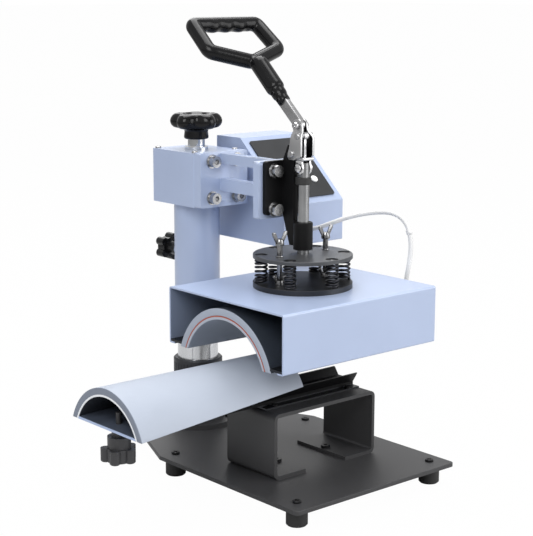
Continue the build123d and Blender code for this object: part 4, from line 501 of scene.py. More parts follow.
bar_steel = metal("bar_steel", (0.44, 0.44, 0.445), 0.3, (30.0, 6.0, 6.0), 0.000004, 0.1)
fork_steel = metal("fork_steel", (0.46, 0.46, 0.465), 0.34, (30.0, 30.0, 8.0), 0.000003, 0.08)
bright_steel = metal("bright_steel", (0.62, 0.62, 0.63), 0.18, (30.0, 30.0, 8.0), 0.000004, 0.1)
wing_steel = metal("wing_steel", (0.27, 0.27, 0.275), 0.2, (40.0, 40.0, 40.0), 0.000006, 0.3)
stem_chrome = metal("stem_chrome", (0.70, 0.71, 0.72), 0.12, (60.0, 60.0, 4.0), 0.000002, 0.05)
steel = metal("brushed_steel", (0.66, 0.67, 0.69), 0.28)
zinc = metal("zinc_plate", (0.52, 0.52, 0.525), 0.24, (30.0, 30.0, 30.0), 0.000008, 0.2)
# Blackened zinc is the finish of the small screws, and also painted shade on the fork's inner
# faces.
dark_zinc_and_painted_shade = metal("blackened_zinc", (0.035, 0.035, 0.037), 0.42, (30.0, 30.0, 30.0), 0.00001, 0.25)
dark_steel = turned_metal("dark_oxide", (0.055, 0.057, 0.062), 0.42)
print("metals", bar_steel.name, steel.name, zinc.name, dark_steel.name)

# %% [markdown]
# The upper disc is blackened steel with six recesses, and a slotted head in each. The recesses are
# painted near black as shade, and each slot is a bright line painted as a glint. They are worked
# out from each point's angle and distance, so one expression draws all six.

# %% Disc with recesses
def disc_metal(name, colour, ring_r, recess_r, count, first_deg):
    """Blackened, turned disc: recesses round a ring painted near black as shade, and a slotted head
    in each whose slot is a painted glint.
    """
    paint = Paint(name, Metallic=0.65)
    x = paint.axis(0)
    y = paint.axis(1)
    distance = (x * x + y * y) ** 0.5
    step = 2 * pi / count
    turns = y.maths("ARCTAN2", x) / step - (radians(first_deg) / step - 0.5)
    round_ring = (turns.maths("FRACT") - 0.5) * step * distance
    out = distance - ring_r
    from_recess = (round_ring * round_ring + out * out) ** 0.5
    # The near-black inside of each recess is painted shade.
    inside = 1.0 - from_recess.between(recess_r - 0.0004, recess_r + 0.0001)
    head = 1.0 - from_recess.between(recess_r * 0.55, recess_r * 0.60)
    # Each head's slot is a thin line painted bright, as a glint.
    across_slot = (round_ring * 0.8 + out * 0.6).maths("ABSOLUTE")
    slot = head * (1.0 - across_slot.between(0.0004, 0.0007))
    stain = paint.noise(32.0, 4.0)
    plain = stain.blend([c * 0.86 for c in colour], [c * 1.1 for c in colour])
    with_painted_recess_shade = inside.blend(plain, (0.004, 0.004, 0.0045))
    headed = head.blend(with_painted_recess_shade, (0.02, 0.02, 0.022))
    paint.give("Base Color", slot.blend(headed, (0.30, 0.30, 0.31)))
    rings = (distance * 2600.0).maths("SINE") * 0.5 + 0.5
    paint.give("Roughness", (rings * 0.06 + stain * 0.14 + 0.34).clamp())
    paint.bump(rings, 0.000012)
    return paint.material


upper_steel = disc_metal("blackened_disc", (0.085, 0.088, 0.094), 0.0465, 0.007, 6, 30.0)
spring_steel = metal(
    "spring_steel", (0.05, 0.05, 0.055), 0.34, (20.0, 20.0, 20.0), 0.00001, 0.3
)
plunger_chrome = metal(
    "worn_chrome", (0.40, 0.405, 0.41), 0.2, (60.0, 60.0, 4.0), 0.000003, 0.2
)
print("disc, springs and plunger", upper_steel.name, spring_steel.name, plunger_chrome.name)

# %% [markdown]
# Moulded plastic takes the texture of its mould, a fine spark grain, and gathers smears where
# hands touch it. The knobs and the grip are smoother and glossier than the case parts.

# %% Plastics and rubber
def moulded(name, colour, roughness, spark=1600.0, depth=0.00003, coat=0.0, shine=0.5):
    """Moulded plastic or rubber: spark texture, slight sheen change, dust in the grain."""
    paint = Paint(name, Specular_IOR_Level=shine, Coat_Weight=coat, Coat_Roughness=0.2)
    grain = paint.noise(spark, 2.0)
    smear = paint.noise(45.0, 4.0)
    lifted = [c * 1.3 + 0.001 for c in colour]
    paint.give("Base Color", (smear * 0.7 + grain * 0.3).between(0.25, 0.75).blend(colour, lifted))
    paint.give("Roughness", (smear * 0.16 + grain * 0.06 + (roughness - 0.1)).clamp())
    paint.bump(grain, depth)
    return paint.material


black_plastic = moulded("black_plastic", (0.0055, 0.0055, 0.006), 0.22, 900.0, 0.000008, 0.0, 0.25)
wheel_plastic = moulded("wheel_plastic", (0.003, 0.003, 0.0034), 0.15, 500.0, 0.000003, 0.0, 0.25)
grip_plastic = moulded("grip_plastic", (0.004, 0.004, 0.0045), 0.19, 700.0, 0.000004, 0.0, 0.22)
grey_plastic = moulded("dark_grey_plastic", (0.026, 0.026, 0.028), 0.42, 1300.0, 0.00002)
rubber = moulded("black_rubber", (0.014, 0.014, 0.014), 0.62, 1800.0, 0.00004)
white_plastic = moulded("white_plastic", (0.84, 0.84, 0.83), 0.3, 900.0, 0.000008, 0.2)
panel_film = moulded("panel_film", (0.022, 0.023, 0.025), 0.42, 2200.0, 0.00001, 0.0, 0.3)
white_jacket = moulded("white_jacket", (0.62, 0.62, 0.618), 0.5, 1200.0, 0.00002)
board = moulded("circuit_board", (0.02, 0.12, 0.05), 0.4)
print("plastics", black_plastic.name, wheel_plastic.name, grip_plastic.name, white_jacket.name)

# %% [markdown]
# Silicone sheet is rolled against cloth, which leaves a fine print. Its cut end is darker or
# lighter than its face, so the sheets that end at the front have a colour for each. The cover's
# face is painted near black, as shade inside the housing.

# %% Silicone
ARCH_END = -0.1125
CLOTH_WAVES = 5200.0
SILICONE_ROUGHNESS = 0.55


def cloth_print(paint, cloud):
    """Gives a material the cloth print and the soft sheen of rolled silicone."""
    along = (paint.axis(0) * CLOTH_WAVES).maths("SINE")
    across = (paint.axis(1) * CLOTH_WAVES).maths("SINE")
    cloth = along * across * 0.5 + 0.5
    paint.give("Roughness", (cloud * 0.12 + (SILICONE_ROUGHNESS - 0.05)).clamp())
    paint.bump(cloth * 0.5 + paint.noise(700.0, 2.0) * 0.5, 0.00004)


def silicone(name, colour):
    """Silicone sheet of one colour."""
    paint = Paint(name, Specular_IOR_Level=0.4)
    cloud = paint.noise(24.0, 4.0)
    paint.give("Base Color", cloud.blend(*shades(colour)))
    cloth_print(paint, cloud)
    return paint.material


def cut_sheet(name, cut_colour, face_colour, end_x):
    """Silicone sheet whose cut end has one colour and whose face has another."""
    paint = Paint(name, Specular_IOR_Level=0.4)
    cloud = paint.noise(24.0, 4.0)
    behind = paint.axis(0).between(end_x + 0.0006, end_x + 0.0011)
    paint.give("Base Color", behind.blend(cut_colour, cloud.blend(*shades(face_colour))))
    cloth_print(paint, cloud)
    return paint.material


pad_silicone = cut_sheet("pad_silicone", (0.19, 0.215, 0.27), (0.38, 0.42, 0.495), PLATEN_END)
liner_silicone = cut_sheet("liner_silicone", (0.42, 0.45, 0.52), (0.30, 0.335, 0.40), ARCH_END)
# The cover's face colour is near black: painted shade inside the housing.
cover_silicone = cut_sheet("cover_silicone", (0.36, 0.40, 0.475), (0.03, 0.038, 0.052), ARCH_END)
heater_sheet = silicone("heater_sheet", (0.40, 0.10, 0.06))
print("soft sheets", pad_silicone.name, cover_silicone.name)

# %% [markdown]
# Most of the real pieces are plain sheet, bar and turned metal, and their solids already have
# that form. Each of those nodes keeps its mesh and takes one of the finishes above.

# %% Finishes of the nodes
finishes = {
    blue_paint: (
        "column_tube", "head_block", "block_cover", "box_bracket", "control_case",
    ),
    housing_paint: ("press_housing",),
    floor_sheet: ("platen_floor",),
    shell_sheet: ("platen_shell",),
    charcoal_paint: ("base_plate", "drawer_stand", "column_socket"),
    black_paint: ("clamp_bracket", "guide_sleeve", "slide_tray"),
    dark_steel: ("lower_disc", "guide_rail", "knurled_collar", "riser_blocks", "arch_strips"),
    upper_steel: ("upper_disc",),
    steel: ("swivel_post", "thrust_nut", "plunger_pin"),
    zinc: ("arm_bolts", "arm_washers", "small_screws"),
    dark_zinc_and_painted_shade: ("foot_screws", "base_bolts", "rail_screws"),
    stem_chrome: ("pressure_spindle",),
    plunger_chrome: ("plunger_rod",),
    black_plastic: ("clamp_knob", "box_gland", "head_gland", "mains_inlet", "power_rocker"),
    grey_plastic: ("platen_knob",),
    rubber: ("rubber_feet", "plunger_stop"),
    panel_film: ("control_panel",),
    white_plastic: ("panel_key",),
    board: ("circuit_board",),
    heater_sheet: ("arch_heater",),
}
for material, names in finishes.items():
    for name in names:
        for slot in bpy.data.objects[name].material_slots:
            slot.material = material
print("finished nodes", sum(len(names) for names in finishes.values()))

# %% [markdown]
# ## Pieces made here
# Most pieces below stand for CAD nodes whose form they carry further, and ride on the same body.
# The small ones share a few tools. A turned piece spins a profile round its axis, as a lathe
# does, and a plate is an outline with rounded corners and a thickness, as a press tool cuts it.
# Sizes are in millimetres, as on a drawing.

# %% Turned pieces and plates
def turned(profile, centre, axis=(0, 0, 1), steps=32):
    """Spins a profile of radius and height round an axis; sizes are in millimetres."""
    bm = bmesh.new()
    along = Vector(axis).normalized()
    side = along.orthogonal().normalized()
    start = Vector(centre)
    verts = [bm.verts.new((start + side * r + along * height) * MM) for r, height in profile]
    edges = [bm.edges.new(pair) for pair in zip(verts, verts[1:])]
    whole_turn = {"cent": start * MM, "axis": along, "angle": 2 * pi, "use_merge": True}
    bmesh.ops.spin(bm, geom=verts + edges, steps=steps, **whole_turn)
    bmesh.ops.remove_doubles(bm, verts=bm.verts, dist=SAME_PLACE)
    return bm


def rounded(bm, edges, offset, segments=3):
    """Rounds edges with a bevel, whose offset is in millimetres."""
    bmesh.ops.bevel(
        bm, geom=edges, offset=offset * MM, segments=segments, profile=0.5, affect="EDGES",
        clamp_overlap=True, material=-1,
    )


def plate(outline, origin, across, up, thickness, corner=0.0, rim=0.0):
    """Makes a plate from an outline; corner rounds its corners, and rim the edges of its faces."""
    bm = bmesh.new()
    across, up = Vector(across), Vector(up)
    normal = across.cross(up)
    low = Vector(origin) - normal * (thickness / 2)
    verts = [bm.verts.new((low + across * a + up * b) * MM) for a, b in outline]
    bm.faces.new(verts)
    if corner:
        bmesh.ops.bevel(
            bm, geom=verts, offset=corner * MM, segments=5, profile=0.5, affect="VERTICES",
            material=-1,
        )
    raised = bmesh.ops.extrude_face_region(bm, geom=list(bm.faces))["geom"]
    top = [v for v in raised if isinstance(v, bmesh.types.BMVert)]
    bmesh.ops.translate(bm, verts=top, vec=normal * thickness * MM)
    bmesh.ops.recalc_face_normals(bm, faces=bm.faces)
    if rim:
        rims = [e for e in bm.edges if abs((e.verts[0].co - e.verts[1].co).dot(normal)) < 1e-7]
        rounded(bm, rims, rim)
    return bm


print("turned pieces and plates ready")

# %% [markdown]
# A bent strip is a row of quads that is given a thickness, as sheet is. A swept piece is a line
# with a round section, as wire is; a curve's own bevel does that and keeps the section square to
# the line.

# %% Bent strips and swept rounds
def bent_strip(rows, thickness, rim=0.4):
    """Makes a bent sheet from rows of z, x and the two ends in y, with a thickness along x."""
    bm = bmesh.new()
    pairs = [[bm.verts.new(Vector((x, y, z)) * MM) for y in ends] for z, x, *ends in rows]
    for low, high in zip(pairs, pairs[1:]):
        bm.faces.new((low[0], low[1], high[1], high[0]))
    bmesh.ops.recalc_face_normals(bm, faces=bm.faces)
    bmesh.ops.solidify(bm, geom=list(bm.faces), thickness=thickness * MM)
    bmesh.ops.recalc_face_normals(bm, faces=bm.faces)
    sharp = [e for e in bm.edges if e.calc_face_angle(0.0) > radians(50)]
    rounded(bm, sharp, rim, 2)
    return bm


def swept(points, radius, closed=False, sides=4):
    """Sweeps a round section along points, in millimetres."""
    line = bpy.data.curves.new("line", "CURVE")
    line.dimensions = "3D"
    line.bevel_depth = radius * MM
    line.bevel_resolution = sides
    line.use_fill_caps = not closed
    spline = line.splines.new("POLY")
    spline.points.add(len(points) - 1)
    for point, place in zip(spline.points, points):
        point.co = (*(Vector(place) * MM), 1.0)
    spline.use_cyclic_u = closed
    probe = new_object("line", line)
    mesh = bpy.data.meshes.new_from_object(probe)
    bpy.data.objects.remove(probe)
    bm = bmesh.new()
    bm.from_mesh(mesh)
    bpy.data.meshes.remove(mesh)
    bmesh.ops.remove_doubles(bm, verts=bm.verts, dist=SAME_PLACE)
    return bm


print("bent strips and swept rounds ready")

# %% [markdown]
# A piece is one mesh, often of several solids. It is smooth except along sharp edges, rides on
# its body, and stands for its nodes, which are then hidden.

# %% From solids to a piece
def one_mesh(name, solids):
    """Puts several solids into one mesh, with their faces outward."""
    whole = bmesh.new()
    for solid in solids:
        bmesh.ops.recalc_face_normals(solid, faces=solid.faces)
        part = bpy.data.meshes.new("part")
        solid.to_mesh(part)
        solid.free()
        whole.from_mesh(part)
        bpy.data.meshes.remove(part)
    mesh = bpy.data.meshes.new(name)
    whole.to_mesh(mesh)
    whole.free()
    return mesh


def finished_mesh(made):
    """Applies an object's modifiers, and gives its mesh without the object."""
    bpy.context.view_layer.update()
    graph = bpy.context.evaluated_depsgraph_get()
    mesh = bpy.data.meshes.new_from_object(made.evaluated_get(graph))
    bpy.data.objects.remove(made)
    return mesh


def merged_copy(node):
    """Copies a CAD node's mesh, and joins its loose triangles."""
    bm = bmesh.new()
    bm.from_mesh(bpy.data.objects[node].data)
    bmesh.ops.remove_doubles(bm, verts=bm.verts, dist=SAME_PLACE)
    return bm


def tilted(degrees):
    """Gives the direction that rises backwards at an angle, and the one square to it."""
    angle = radians(degrees)
    return Vector((0, cos(angle), sin(angle))), Vector((0, -sin(angle), cos(angle)))


def place_piece(name, mesh, material, body, nodes=(), smooth_deg=38):
    """Makes a piece of a mesh, shades it, and lets it ride on a body and stand for its nodes."""
    made = new_object(name, mesh)
    mesh.materials.append(material)
    for face in mesh.polygons:
        face.use_smooth = True
    mesh.set_sharp_from_angle(angle=radians(smooth_deg))
    if body:
        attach(made, body)
    if nodes:
        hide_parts(*nodes)
    return made


print("piece tools ready")

# %% [markdown]
# The grip is one black moulding: a D-shaped loop of round section, and a round stem whose end
# lies on the loop's front. The two are swept and turned apart, joined by a voxel remesh, and
# smoothed, which gives the soft fillet that a mould leaves. A boolean join would leave a hard
# seam there. The finger waves are pressed into the inner side of the top bar.

# %% Lines of the grip
HANDLE_DEG = 38.75
along, front = tilted(HANDLE_DEG)
loop_centre = Vector((0, 90.0, 463.6)) + front * 3.6
LOOP_R = 8.6
LOOP_TOP = 60.3
CORNER_R = 5.5
loop_corners = [(-46.5, LOOP_TOP), (-50.0, 15.0), (0.0, -4.5), (50.0, 15.0), (46.5, LOOP_TOP)]


def rounded_loop(corners, radius, steps=6):
    """Rounds each corner of a closed outline with a short curve."""
    points = []
    for i, corner in enumerate(corners):
        here = Vector(corner)
        to_last = (Vector(corners[i - 1]) - here).normalized() * radius
        to_next = (Vector(corners[(i + 1) % len(corners)]) - here).normalized() * radius
        for k in range(steps + 1):
            t = k / steps
            points.append(here + to_last * (1 - t) ** 2 + to_next * t**2)
    return points


flat_loop = rounded_loop(loop_corners, CORNER_R)
loop_line = [loop_centre + Vector((u, 0, 0)) + along * w for u, w in flat_loop]
STEM_DEG = 43.0
stem_along = -tilted(STEM_DEG)[0]
stem_top = Vector((0, 77.5, 465.6))
stem_profile = [
    (0, -3.5), (6.0, -2.0), (9.2, 1.6), (10.5, 6.0), (10.5, 42.0), (10.0, 44.5), (8.6, 45.2),
    (8.6, 53.5), (8.2, 54.3), (7.4, 55.0), (7.4, 63.4), (6.8, 64.2), (0, 64.2),
]
print("grip's loop has", len(loop_line), "points")

# %% Moulded grip
VOXEL = 1.15
WAVE_PITCH = 19.0
WAVE_DEPTH = 2.4
WAVE_HALF = 36.0
WAVE_FADE = 6.0
SMOOTH_PASSES = 4
grip_parts = [swept(loop_line, LOOP_R, True, 6), turned(stem_profile, stem_top, stem_along)]
rough = new_object("rough_grip", one_mesh("rough_grip", grip_parts))

remesh = rough.modifiers.new("remesh", "REMESH")
remesh.mode = "VOXEL"
remesh.voxel_size = VOXEL * MM
solid_grip = finished_mesh(rough)
grip_bm = bmesh.new()
grip_bm.from_mesh(solid_grip)
bpy.data.meshes.remove(solid_grip)
for vert in grip_bm.verts:
    offset = vert.co / MM - loop_centre
    across, up = offset.x, offset.dot(along)
    inner = min(max((LOOP_TOP - up) / LOOP_R, 0.0), 1.0)
    inner *= min(max((WAVE_HALF - abs(across)) / WAVE_FADE, 0.0), 1.0)
    if up > LOOP_TOP - 1.5 * LOOP_R:
        wave = 0.5 + 0.5 * cos(2 * pi * across / WAVE_PITCH)
        vert.co -= along * (inner * WAVE_DEPTH * wave * MM)
all_axes = {"use_axis_x": True, "use_axis_y": True, "use_axis_z": True}
for _ in range(SMOOTH_PASSES):
    bmesh.ops.smooth_vert(grip_bm, verts=grip_bm.verts, factor=0.5, **all_axes)
grip = place_piece(
    "moulded_grip", one_mesh("moulded_grip", [grip_bm]), grip_plastic, "lever", ("handle_grip",),
    180,
)
print("grip faces", len(grip.data.polygons))

# %% [markdown]
# A flat steel bar runs from the toggle fork into the grip. It is a plate seen edge on: an outline
# in the bar's own plane, with rounded ends and a small round along its faces.

# %% Flat bar
ROOT = Vector((0, 5.5, 399.0))
BAR_DEG = 41.5
BAR_W = 6.2
bar_along, bar_up = tilted(BAR_DEG)
bar_outline = [(-6.0, -6.4), (50.0, -6.4), (50.0, 6.4), (-6.0, 6.4)]
bar_solid = plate(bar_outline, ROOT, bar_along, bar_up, BAR_W, 5.6, 0.5)
flat_bar = place_piece(
    "flat_bar", one_mesh("flat_bar", [bar_solid]), bar_steel, "lever", ("handle_bar",)
)
print("bar faces", len(flat_bar.data.polygons))

# %% [markdown]
# Each cheek of the fork is a pressed plate: wide over the pins, then jogged inward to a neck that
# holds the bar's end with one bolt. A strip of a few rows with a thickness and small rounds gives
# the jog, which a flat plate can't. The faces between the cheeks take the blackened zinc as painted
# shade, as light hardly reaches them.

# %% Pressed fork
CHEEK_T = 2.9
# Each row is a height, a distance from the middle, and the strip's two ends in y.
cheek_rows = [
    (361.6, 10.2, 4.5, 13.0), (363.6, 10.2, 1.5, 14.6), (365.6, 10.2, -5.2, 15.0),
    (367.0, 10.2, -6.2, 14.8), (376.0, 10.2, -6.2, 12.0), (385.5, 10.2, -6.2, 10.6),
    (388.5, 9.4, -5.8, 10.2), (393.0, 5.6, -3.6, 11.0), (395.5, 4.9, -2.6, 12.4),
    (401.5, 4.9, -1.6, 12.6), (404.6, 4.9, 0.8, 10.6), (406.0, 4.9, 3.4, 8.0),
]
cheeks = [
    bent_strip([(z, side * x, *ends) for z, x, *ends in cheek_rows], CHEEK_T) for side in (-1, 1)
]
fork = place_piece(
    "pressed_fork", one_mesh("pressed_fork", cheeks), fork_steel, "lever", ("lever_fork",),
    30,
)
# The inner faces of the cheeks take the blackened zinc, as painted shade.
fork.data.materials.append(dark_zinc_and_painted_shade)
for face in fork.data.polygons:
    if face.normal.x * face.center.x < -0.5 * abs(face.center.x):
        face.material_index = 1
print("fork rows", len(cheek_rows))

# %% [markdown]
# One bolt holds the bar in the fork's neck and two small ones hold it in the grip. The two pins
# of the toggle end flush with what they go through. All of them are turned: a profile spun round
# the x axis.

# %% Screws and pins
def bolt_head(centre, side, radius, height):
    """Makes a domed bolt head that faces along x, with a round socket in it."""
    return turned(
        [
            (0, 0), (radius, 0), (radius, height * 0.55), (radius * 0.8, height),
            (radius * 0.48, height), (radius * 0.42, height * 0.4), (0, height * 0.4),
        ],
        centre, (side, 0, 0), 24,
    )


root_bolt = [bolt_head(ROOT + Vector((side * 6.4, 0, 0)), side, 4.0, 3.0) for side in (-1, 1)]
root_bolt.append(turned([(0, -6.4), (3.0, -6.4), (3.0, 6.4), (0, 6.4)], ROOT, (1, 0, 0), 24))
stem_screws = []
for reach, half in ((49.5, 8.0), (60.0, 6.9)):
    spot = stem_top + stem_along * reach
    for side in (-1, 1):
        stem_screws.append(bolt_head(spot + Vector((side * half, 0, 0)), side, 2.8, 1.4))
place_piece("root_bolt", one_mesh("root_bolt", root_bolt), bright_steel, "lever", ())
place_piece(
    "stem_screws", one_mesh("stem_screws", stem_screws), dark_zinc_and_painted_shade, "lever", ("handle_bolts",),
)
for name, spot, radius, half, body, node in (
    ("flush_lever_pin", (0, 0, 388.0), 3.5, 11.4, "lever", "lever_pin"),
    ("flush_pivot_pin", (0, 9.0, 368.0), 3.9, 12.0, "swing_arm", "pivot_pin"),
):
    chamfer = 0.4
    pin_profile = [
        (0, -half), (radius - chamfer, -half), (radius, chamfer - half), (radius, half - chamfer),
        (radius - chamfer, half), (0, half),
    ]
    pin = turned(pin_profile, spot, (1, 0, 0), 24)
    place_piece(name, one_mesh(name, [pin]), fork_steel, body, (node,))
print("screws", len(root_bolt) + len(stem_screws))

# %% [markdown]
# The link hangs between the cheeks and pushes the plunger down: a narrow bar from the lever's
# pin, a saddle, and two ears that carry the plunger's pin and its domed heads. It is put together
# from the same plates, strips and turned pieces, as a welder would.

# %% Toggle link
LEVER_PIN = Vector((0, 0, 388.0))
SADDLE_AT = Vector((0, 0, 363.4))
PLUNGER_PIN_Z = 353.0
bar_sides = [(-2.8, -24.0), (2.8, -24.0), (2.8, 4.8), (-2.8, 4.8)]
saddle_sides = [(-8.4, -9.0), (8.4, -9.0), (8.4, 4.2), (-8.4, 4.2)]
ear_rows = (
    (346.6, 7.1, 3.0), (348.5, 7.1, 5.4), (353.0, 7.1, 6.4), (357.5, 7.1, 5.2), (362.0, 7.1, 4.2),
)
head_profile = [(0, 0), (4.6, 0), (4.6, 0.8), (3.6, 1.5), (0, 1.7)]
link_solids = [
    plate(bar_sides, LEVER_PIN, (0, 1, 0), (0, 0, 1), 3.8, 2.6, 0.5),
    turned([(0, -2.5), (4.9, -2.5), (4.9, 2.5), (0, 2.5)], LEVER_PIN, (1, 0, 0), 24),
    plate(saddle_sides, SADDLE_AT, (1, 0, 0), (0, 1, 0), 3.6, 2.0, 1.4),
]
for side in (-1, 1):
    link_solids.append(bent_strip([(z, side * x, -half, half) for z, x, half in ear_rows], 2.7))
for side in (-1, 1):
    link_solids.append(turned(head_profile, (side * 8.3, 0, PLUNGER_PIN_Z), (side, 0, 0), 24))
place_piece(
    "saddle_link", one_mesh("saddle_link", link_solids), bright_steel, "link", ("toggle_link",),
    34,
)
print("link solids", len(link_solids))

# %% [markdown]
# Six springs push the discs apart. Each is a helix of between six and seven turns, wound closer
# at its ends, with one wire swept along it. A Screw modifier could make it too, but not the
# closer ends. The springs ride on no body, so they keep their length when the head floats.

# %% Press springs
SPRING_COUNT = 6
SPRING_RING = 46.5
SPRING_FIRST_DEG = 30
SPRING_R = 6.3
WIRE_R = 1.25
SPRING_LOW = 228.0 + WIRE_R
SPRING_HIGH = 254.8 - WIRE_R
SPRING_TURNS = 6.6
CLOSER_ENDS = 0.045
STEPS = 24


def coil(number):
    """Gives the line that one spring's wire follows."""
    angle = radians(SPRING_FIRST_DEG + 360 / SPRING_COUNT * number)
    foot = Vector((SPRING_RING * cos(angle), SPRING_RING * sin(angle), SPRING_LOW))
    count = int(STEPS * SPRING_TURNS)
    points = []
    for i in range(count + 1):
        t = i / count
        rise = (SPRING_HIGH - SPRING_LOW) * (t - CLOSER_ENDS * sin(2 * pi * t))
        wound = 2 * pi * SPRING_TURNS * t + number
        points.append(foot + Vector((SPRING_R * cos(wound), SPRING_R * sin(wound), rise)))
    return points


spring_solids = [swept(coil(number), WIRE_R, False, 3) for number in range(SPRING_COUNT)]
springs = place_piece(
    "wound_springs", one_mesh("wound_springs", spring_solids), spring_steel, None,
    ("press_springs",), 60,
)
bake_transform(springs)
print("spring faces", len(springs.data.polygons))

# %% [markdown]
# The wing bolts and their lock nuts are pressed steel: a small hub with two thin ears that spread
# in a V. The hub and the shaft are turned, and each ear is a small plate with rounded corners.

# %% Wing bolts
WING_X = 34.0
shaft_profile = [(0, 223.2), (2.7, 223.2), (3.0, 224.0), (3.0, 273.0), (0, 273.0)]
hub_profile = [(3.2, 271.0), (4.6, 271.4), (5.0, 273.0), (4.4, 277.0), (3.4, 278.6), (0, 279.2)]
foot_profile = [(0, 258.9), (4.0, 258.9), (4.2, 259.3), (4.0, 260.2), (0, 260.4)]
nut_profile = [(3.3, 228.1), (5.3, 228.1), (5.4, 229.4), (4.7, 233.2), (3.3, 234.2)]


def wing_ears(x, z, reach, height, thickness=1.9):
    """Makes the two ears of a wing nut, whose tips spread along x."""
    solids = []
    for side in (-1, 1):
        outline = [
            (side * 1.6, -1.0), (side * 4.4, -0.6), (side * reach, height * 0.72),
            (side * (reach - 0.4), height), (side * (reach - 4.2), height * 0.97),
            (side * 2.6, height * 0.36),
        ]
        solids.append(plate(outline, (x, 0, z), (1, 0, 0), (0, 0, 1), thickness, 1.1, 0.6))
    return solids


for side, word in ((-1, "left"), (1, "right")):
    place = (side * WING_X, 0, 0)
    wing_solids = [
        turned(shaft_profile, place, steps=20), turned(hub_profile, place, steps=24),
        turned(foot_profile, place, steps=24), *wing_ears(side * WING_X, 273.5, 10.6, 13.3),
    ]
    place_piece(
        "wing_bolt_" + word + "_pressed", one_mesh("wing_" + word, wing_solids), wing_steel,
        word + "_wing", ("wing_bolt_" + word,), 34,
    )
print("wing bolts made, each of", len(wing_solids), "solids")

# %% Lock nuts
nut_solids = []
for x in (-WING_X, WING_X):
    nut_solids.append(turned(nut_profile, (x, 0, 0), steps=24))
    nut_solids += wing_ears(x, 229.2, 9.6, 10.6)
place_piece(
    "lock_wing_nuts", one_mesh("lock_wing_nuts", nut_solids), wing_steel, "heating_head",
    ("lock_nuts",), 34,
)
print("lock nut solids", len(nut_solids))

# %% [markdown]
# The pressure wheel is a thick plastic star with five soft lobes and a dished top. It starts as a
# turned form. Then each point further out than the hub is drawn in between the lobes, by a cosine
# of its angle, which leaves no edge where a lobe begins.

# %% Pressure wheel
WHEEL_AT = Vector((0, 188.0, 0))
LOBES = 5
NOTCH_TURN = radians(20)
NOTCH_DEPTH = 0.27
NOTCH_SHARPNESS = 1.25
HUB_R = 15.5
HUB_FADE = 9.0
wheel_profile = [
    (0, 370.0), (13.0, 370.0), (14.3, 370.8), (14.6, 372.5), (13.9, 378.5), (14.4, 380.6),
    (17.5, 381.8), (23.5, 382.4), (27.6, 383.4), (30.2, 385.6), (31.6, 388.4), (31.9, 391.2),
    (31.0, 394.4), (29.0, 397.2), (26.4, 399.2), (23.4, 399.9), (20.6, 399.3), (17.6, 397.8),
    (13.5, 396.8), (7.0, 396.4), (0, 396.4),
]
wheel_bm = turned(wheel_profile, WHEEL_AT, (0, 0, 1), 120)
for vert in wheel_bm.verts:
    out = Vector((vert.co.x, vert.co.y, 0)) - WHEEL_AT * MM
    if out.length > HUB_R * MM:
        between = 0.5 - 0.5 * cos(LOBES * (atan2(out.y, out.x) + NOTCH_TURN))
        outer = min(1.0, (out.length / MM - HUB_R) / HUB_FADE)
        shrink = 1 - NOTCH_DEPTH * between**NOTCH_SHARPNESS * outer
        vert.co = WHEEL_AT * MM + out * shrink + Vector((0, 0, vert.co.z))
wheel = place_piece(
    "pressure_star", one_mesh("pressure_star", [wheel_bm]), wheel_plastic, "pressure_wheel",
    ("pressure_knob",), 180,
)
print("wheel faces", len(wheel.data.polygons))

# %% [markdown]
# The arm is welded from two flanges and two bars, and the gap between its bars is open from one
# flange to the other. The CAD solid is copied, and a box the size of that gap is cut from the
# copy with a boolean, because only that one opening differs.

# %% Arm
FRONT_FLANGE = 9.0
REAR_FLANGE = 12.0
LOWER_BAR = 32.8
UPPER_BAR = 13.0
CUTTER_W = 40.0
arm_low, arm_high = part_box("arm_frame")
gap_front = arm_low.y / MM + FRONT_FLANGE
gap_back = arm_high.y / MM - REAR_FLANGE
gap_low = arm_low.z / MM + LOWER_BAR
gap_high = arm_high.z / MM - UPPER_BAR
gap_sides = [
    (gap_front, gap_low), (gap_back, gap_low), (gap_back, gap_high), (gap_front, gap_high)
]
cutter_bm = plate(gap_sides, (0, 0, 0), (0, 1, 0), (0, 0, 1), CUTTER_W, 1.0)
cutter = new_object("cutter", one_mesh("cutter", [cutter_bm]))
whole_arm = new_object("whole_arm", one_mesh("whole_arm", [merged_copy("arm_frame")]))
cut = whole_arm.modifiers.new("window", "BOOLEAN")
cut.object = cutter
cut.operation = "DIFFERENCE"
cut.solver = "EXACT"
arm_mesh = finished_mesh(whole_arm)
bpy.data.objects.remove(cutter)
arm_mesh.materials.clear()
place_piece("welded_arm", arm_mesh, blue_paint, "swing_arm", ("arm_frame",), 30)
print("arm faces", len(arm_mesh.polygons))

# %% [markdown]
# The silicone pad on the platen and the two silicone layers of the heated arch are soft sheet,
# whose cut edges are never sharp. Each is a copy of its CAD solid, merged, because the copy is
# loose triangles and a bevel needs joined faces. Then its sharp edges are rounded over.

# %% Silicone sheets
def soft_sheet(name, node, body, material, rounding):
    """Copies a node's mesh, rounds its edges, and stands for the node."""
    bm = merged_copy(node)
    bmesh.ops.dissolve_limit(bm, angle_limit=radians(0.5), verts=bm.verts, edges=bm.edges)
    sharp = [e for e in bm.edges if len(e.link_faces) == 2 and e.calc_face_angle(0.0) > radians(45)]
    rounded(bm, sharp, rounding)
    bmesh.ops.triangulate(bm, faces=[f for f in bm.faces if len(f.verts) > 4])
    return place_piece(name, one_mesh(name, [bm]), material, body, (node,), 32)


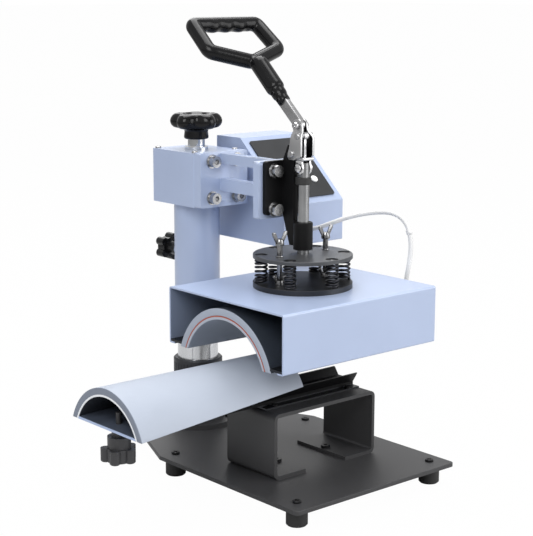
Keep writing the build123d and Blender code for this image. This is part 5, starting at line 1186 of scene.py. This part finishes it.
platen_mat = soft_sheet("platen_mat", "platen_pad", "drawer", pad_silicone, 0.7)
arch_inner_sheet = soft_sheet(
    "arch_inner_sheet", "arch_liner", "heating_head", liner_silicone, 0.5
)
arch_outer_sheet = soft_sheet(
    "arch_outer_sheet", "arch_cover", "heating_head", cover_silicone, 0.7
)
sheets = (platen_mat, arch_inner_sheet, arch_outer_sheet)
print("faces of the soft sheets", [len(sheet.data.polygons) for sheet in sheets])

# %% [markdown]
# The white lead carries the heater's current from the control box to the head. Its line is a
# smooth curve with the same control points as the CAD's, and a round section is swept along it.
# It rides on no body, so it keeps its shape when the head goes down.

# %% White lead
LEAD_D = 5.3 * MM
lead_route = [
    (78.0, 80.0, 267.0), (79.0, 66.0, 268.5), (87.0, 50.0, 276.0), (106.0, 34.0, 285.0),
    (124.0, 11.0, 291.0), (131.0, -13.0, 292.0), (132.5, -31.0, 282.0), (131.0, -39.5, 262.0),
    (127.0, -41.5, 241.0), (122.5, -40.5, 220.0), (121.0, -40.0, 200.0),
]


def route_points(route):
    """Reads the points of a smooth curve whose control points are the route's."""
    line = bpy.data.curves.new("lead_route", "CURVE")
    line.dimensions = "3D"
    line.resolution_u = 12
    spline = line.splines.new("NURBS")
    spline.points.add(len(route) - 1)
    for point, place in zip(spline.points, route):
        point.co = (*(c * MM for c in place), 1.0)
    spline.order_u = 3
    spline.use_endpoint_u = True
    probe = new_object("probe", line)
    mesh = bpy.data.meshes.new_from_object(probe)
    points = [v.co.copy() for v in mesh.vertices]
    bpy.data.objects.remove(probe)
    bpy.data.meshes.remove(mesh)
    return points


lead_points = route_points(lead_route)
lead_solid = swept([point / MM for point in lead_points], LEAD_D / MM / 2, False, 8)
lead = place_piece(
    "white_lead", one_mesh("white_lead", [lead_solid]), white_jacket, None, ("heater_lead",),
)
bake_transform(lead)

# %% [markdown]
# A small white tie sits on the lead below its bend. It is a turned band with a short tail, set
# square to the lead, and like the lead it rides on no body.

# %% Tie on the lead
TIE_AT = 0.66
near = int(len(lead_points) * TIE_AT)
tie_place = lead_points[near] / MM
tie_axis = lead_points[near + 1] - lead_points[near - 1]
band_profile = [(2.7, -2.6), (3.5, -2.3), (3.7, 0), (3.5, 2.3), (2.7, 2.6)]
tail_sides = [(2.8, -1.2), (6.6, -0.9), (6.6, 0.9), (2.8, 1.2)]
tie_solids = [
    turned(band_profile, tie_place, tie_axis, 20),
    plate(tail_sides, tie_place, (-0.6, -0.8, 0), (0, 0, 1), 1.6, 0.5),
]
tie = place_piece(
    "lead_tie", one_mesh("lead_tie", tie_solids), white_jacket, None, ()
)
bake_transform(tie)
print("tie at point", near, "of", len(lead_points))
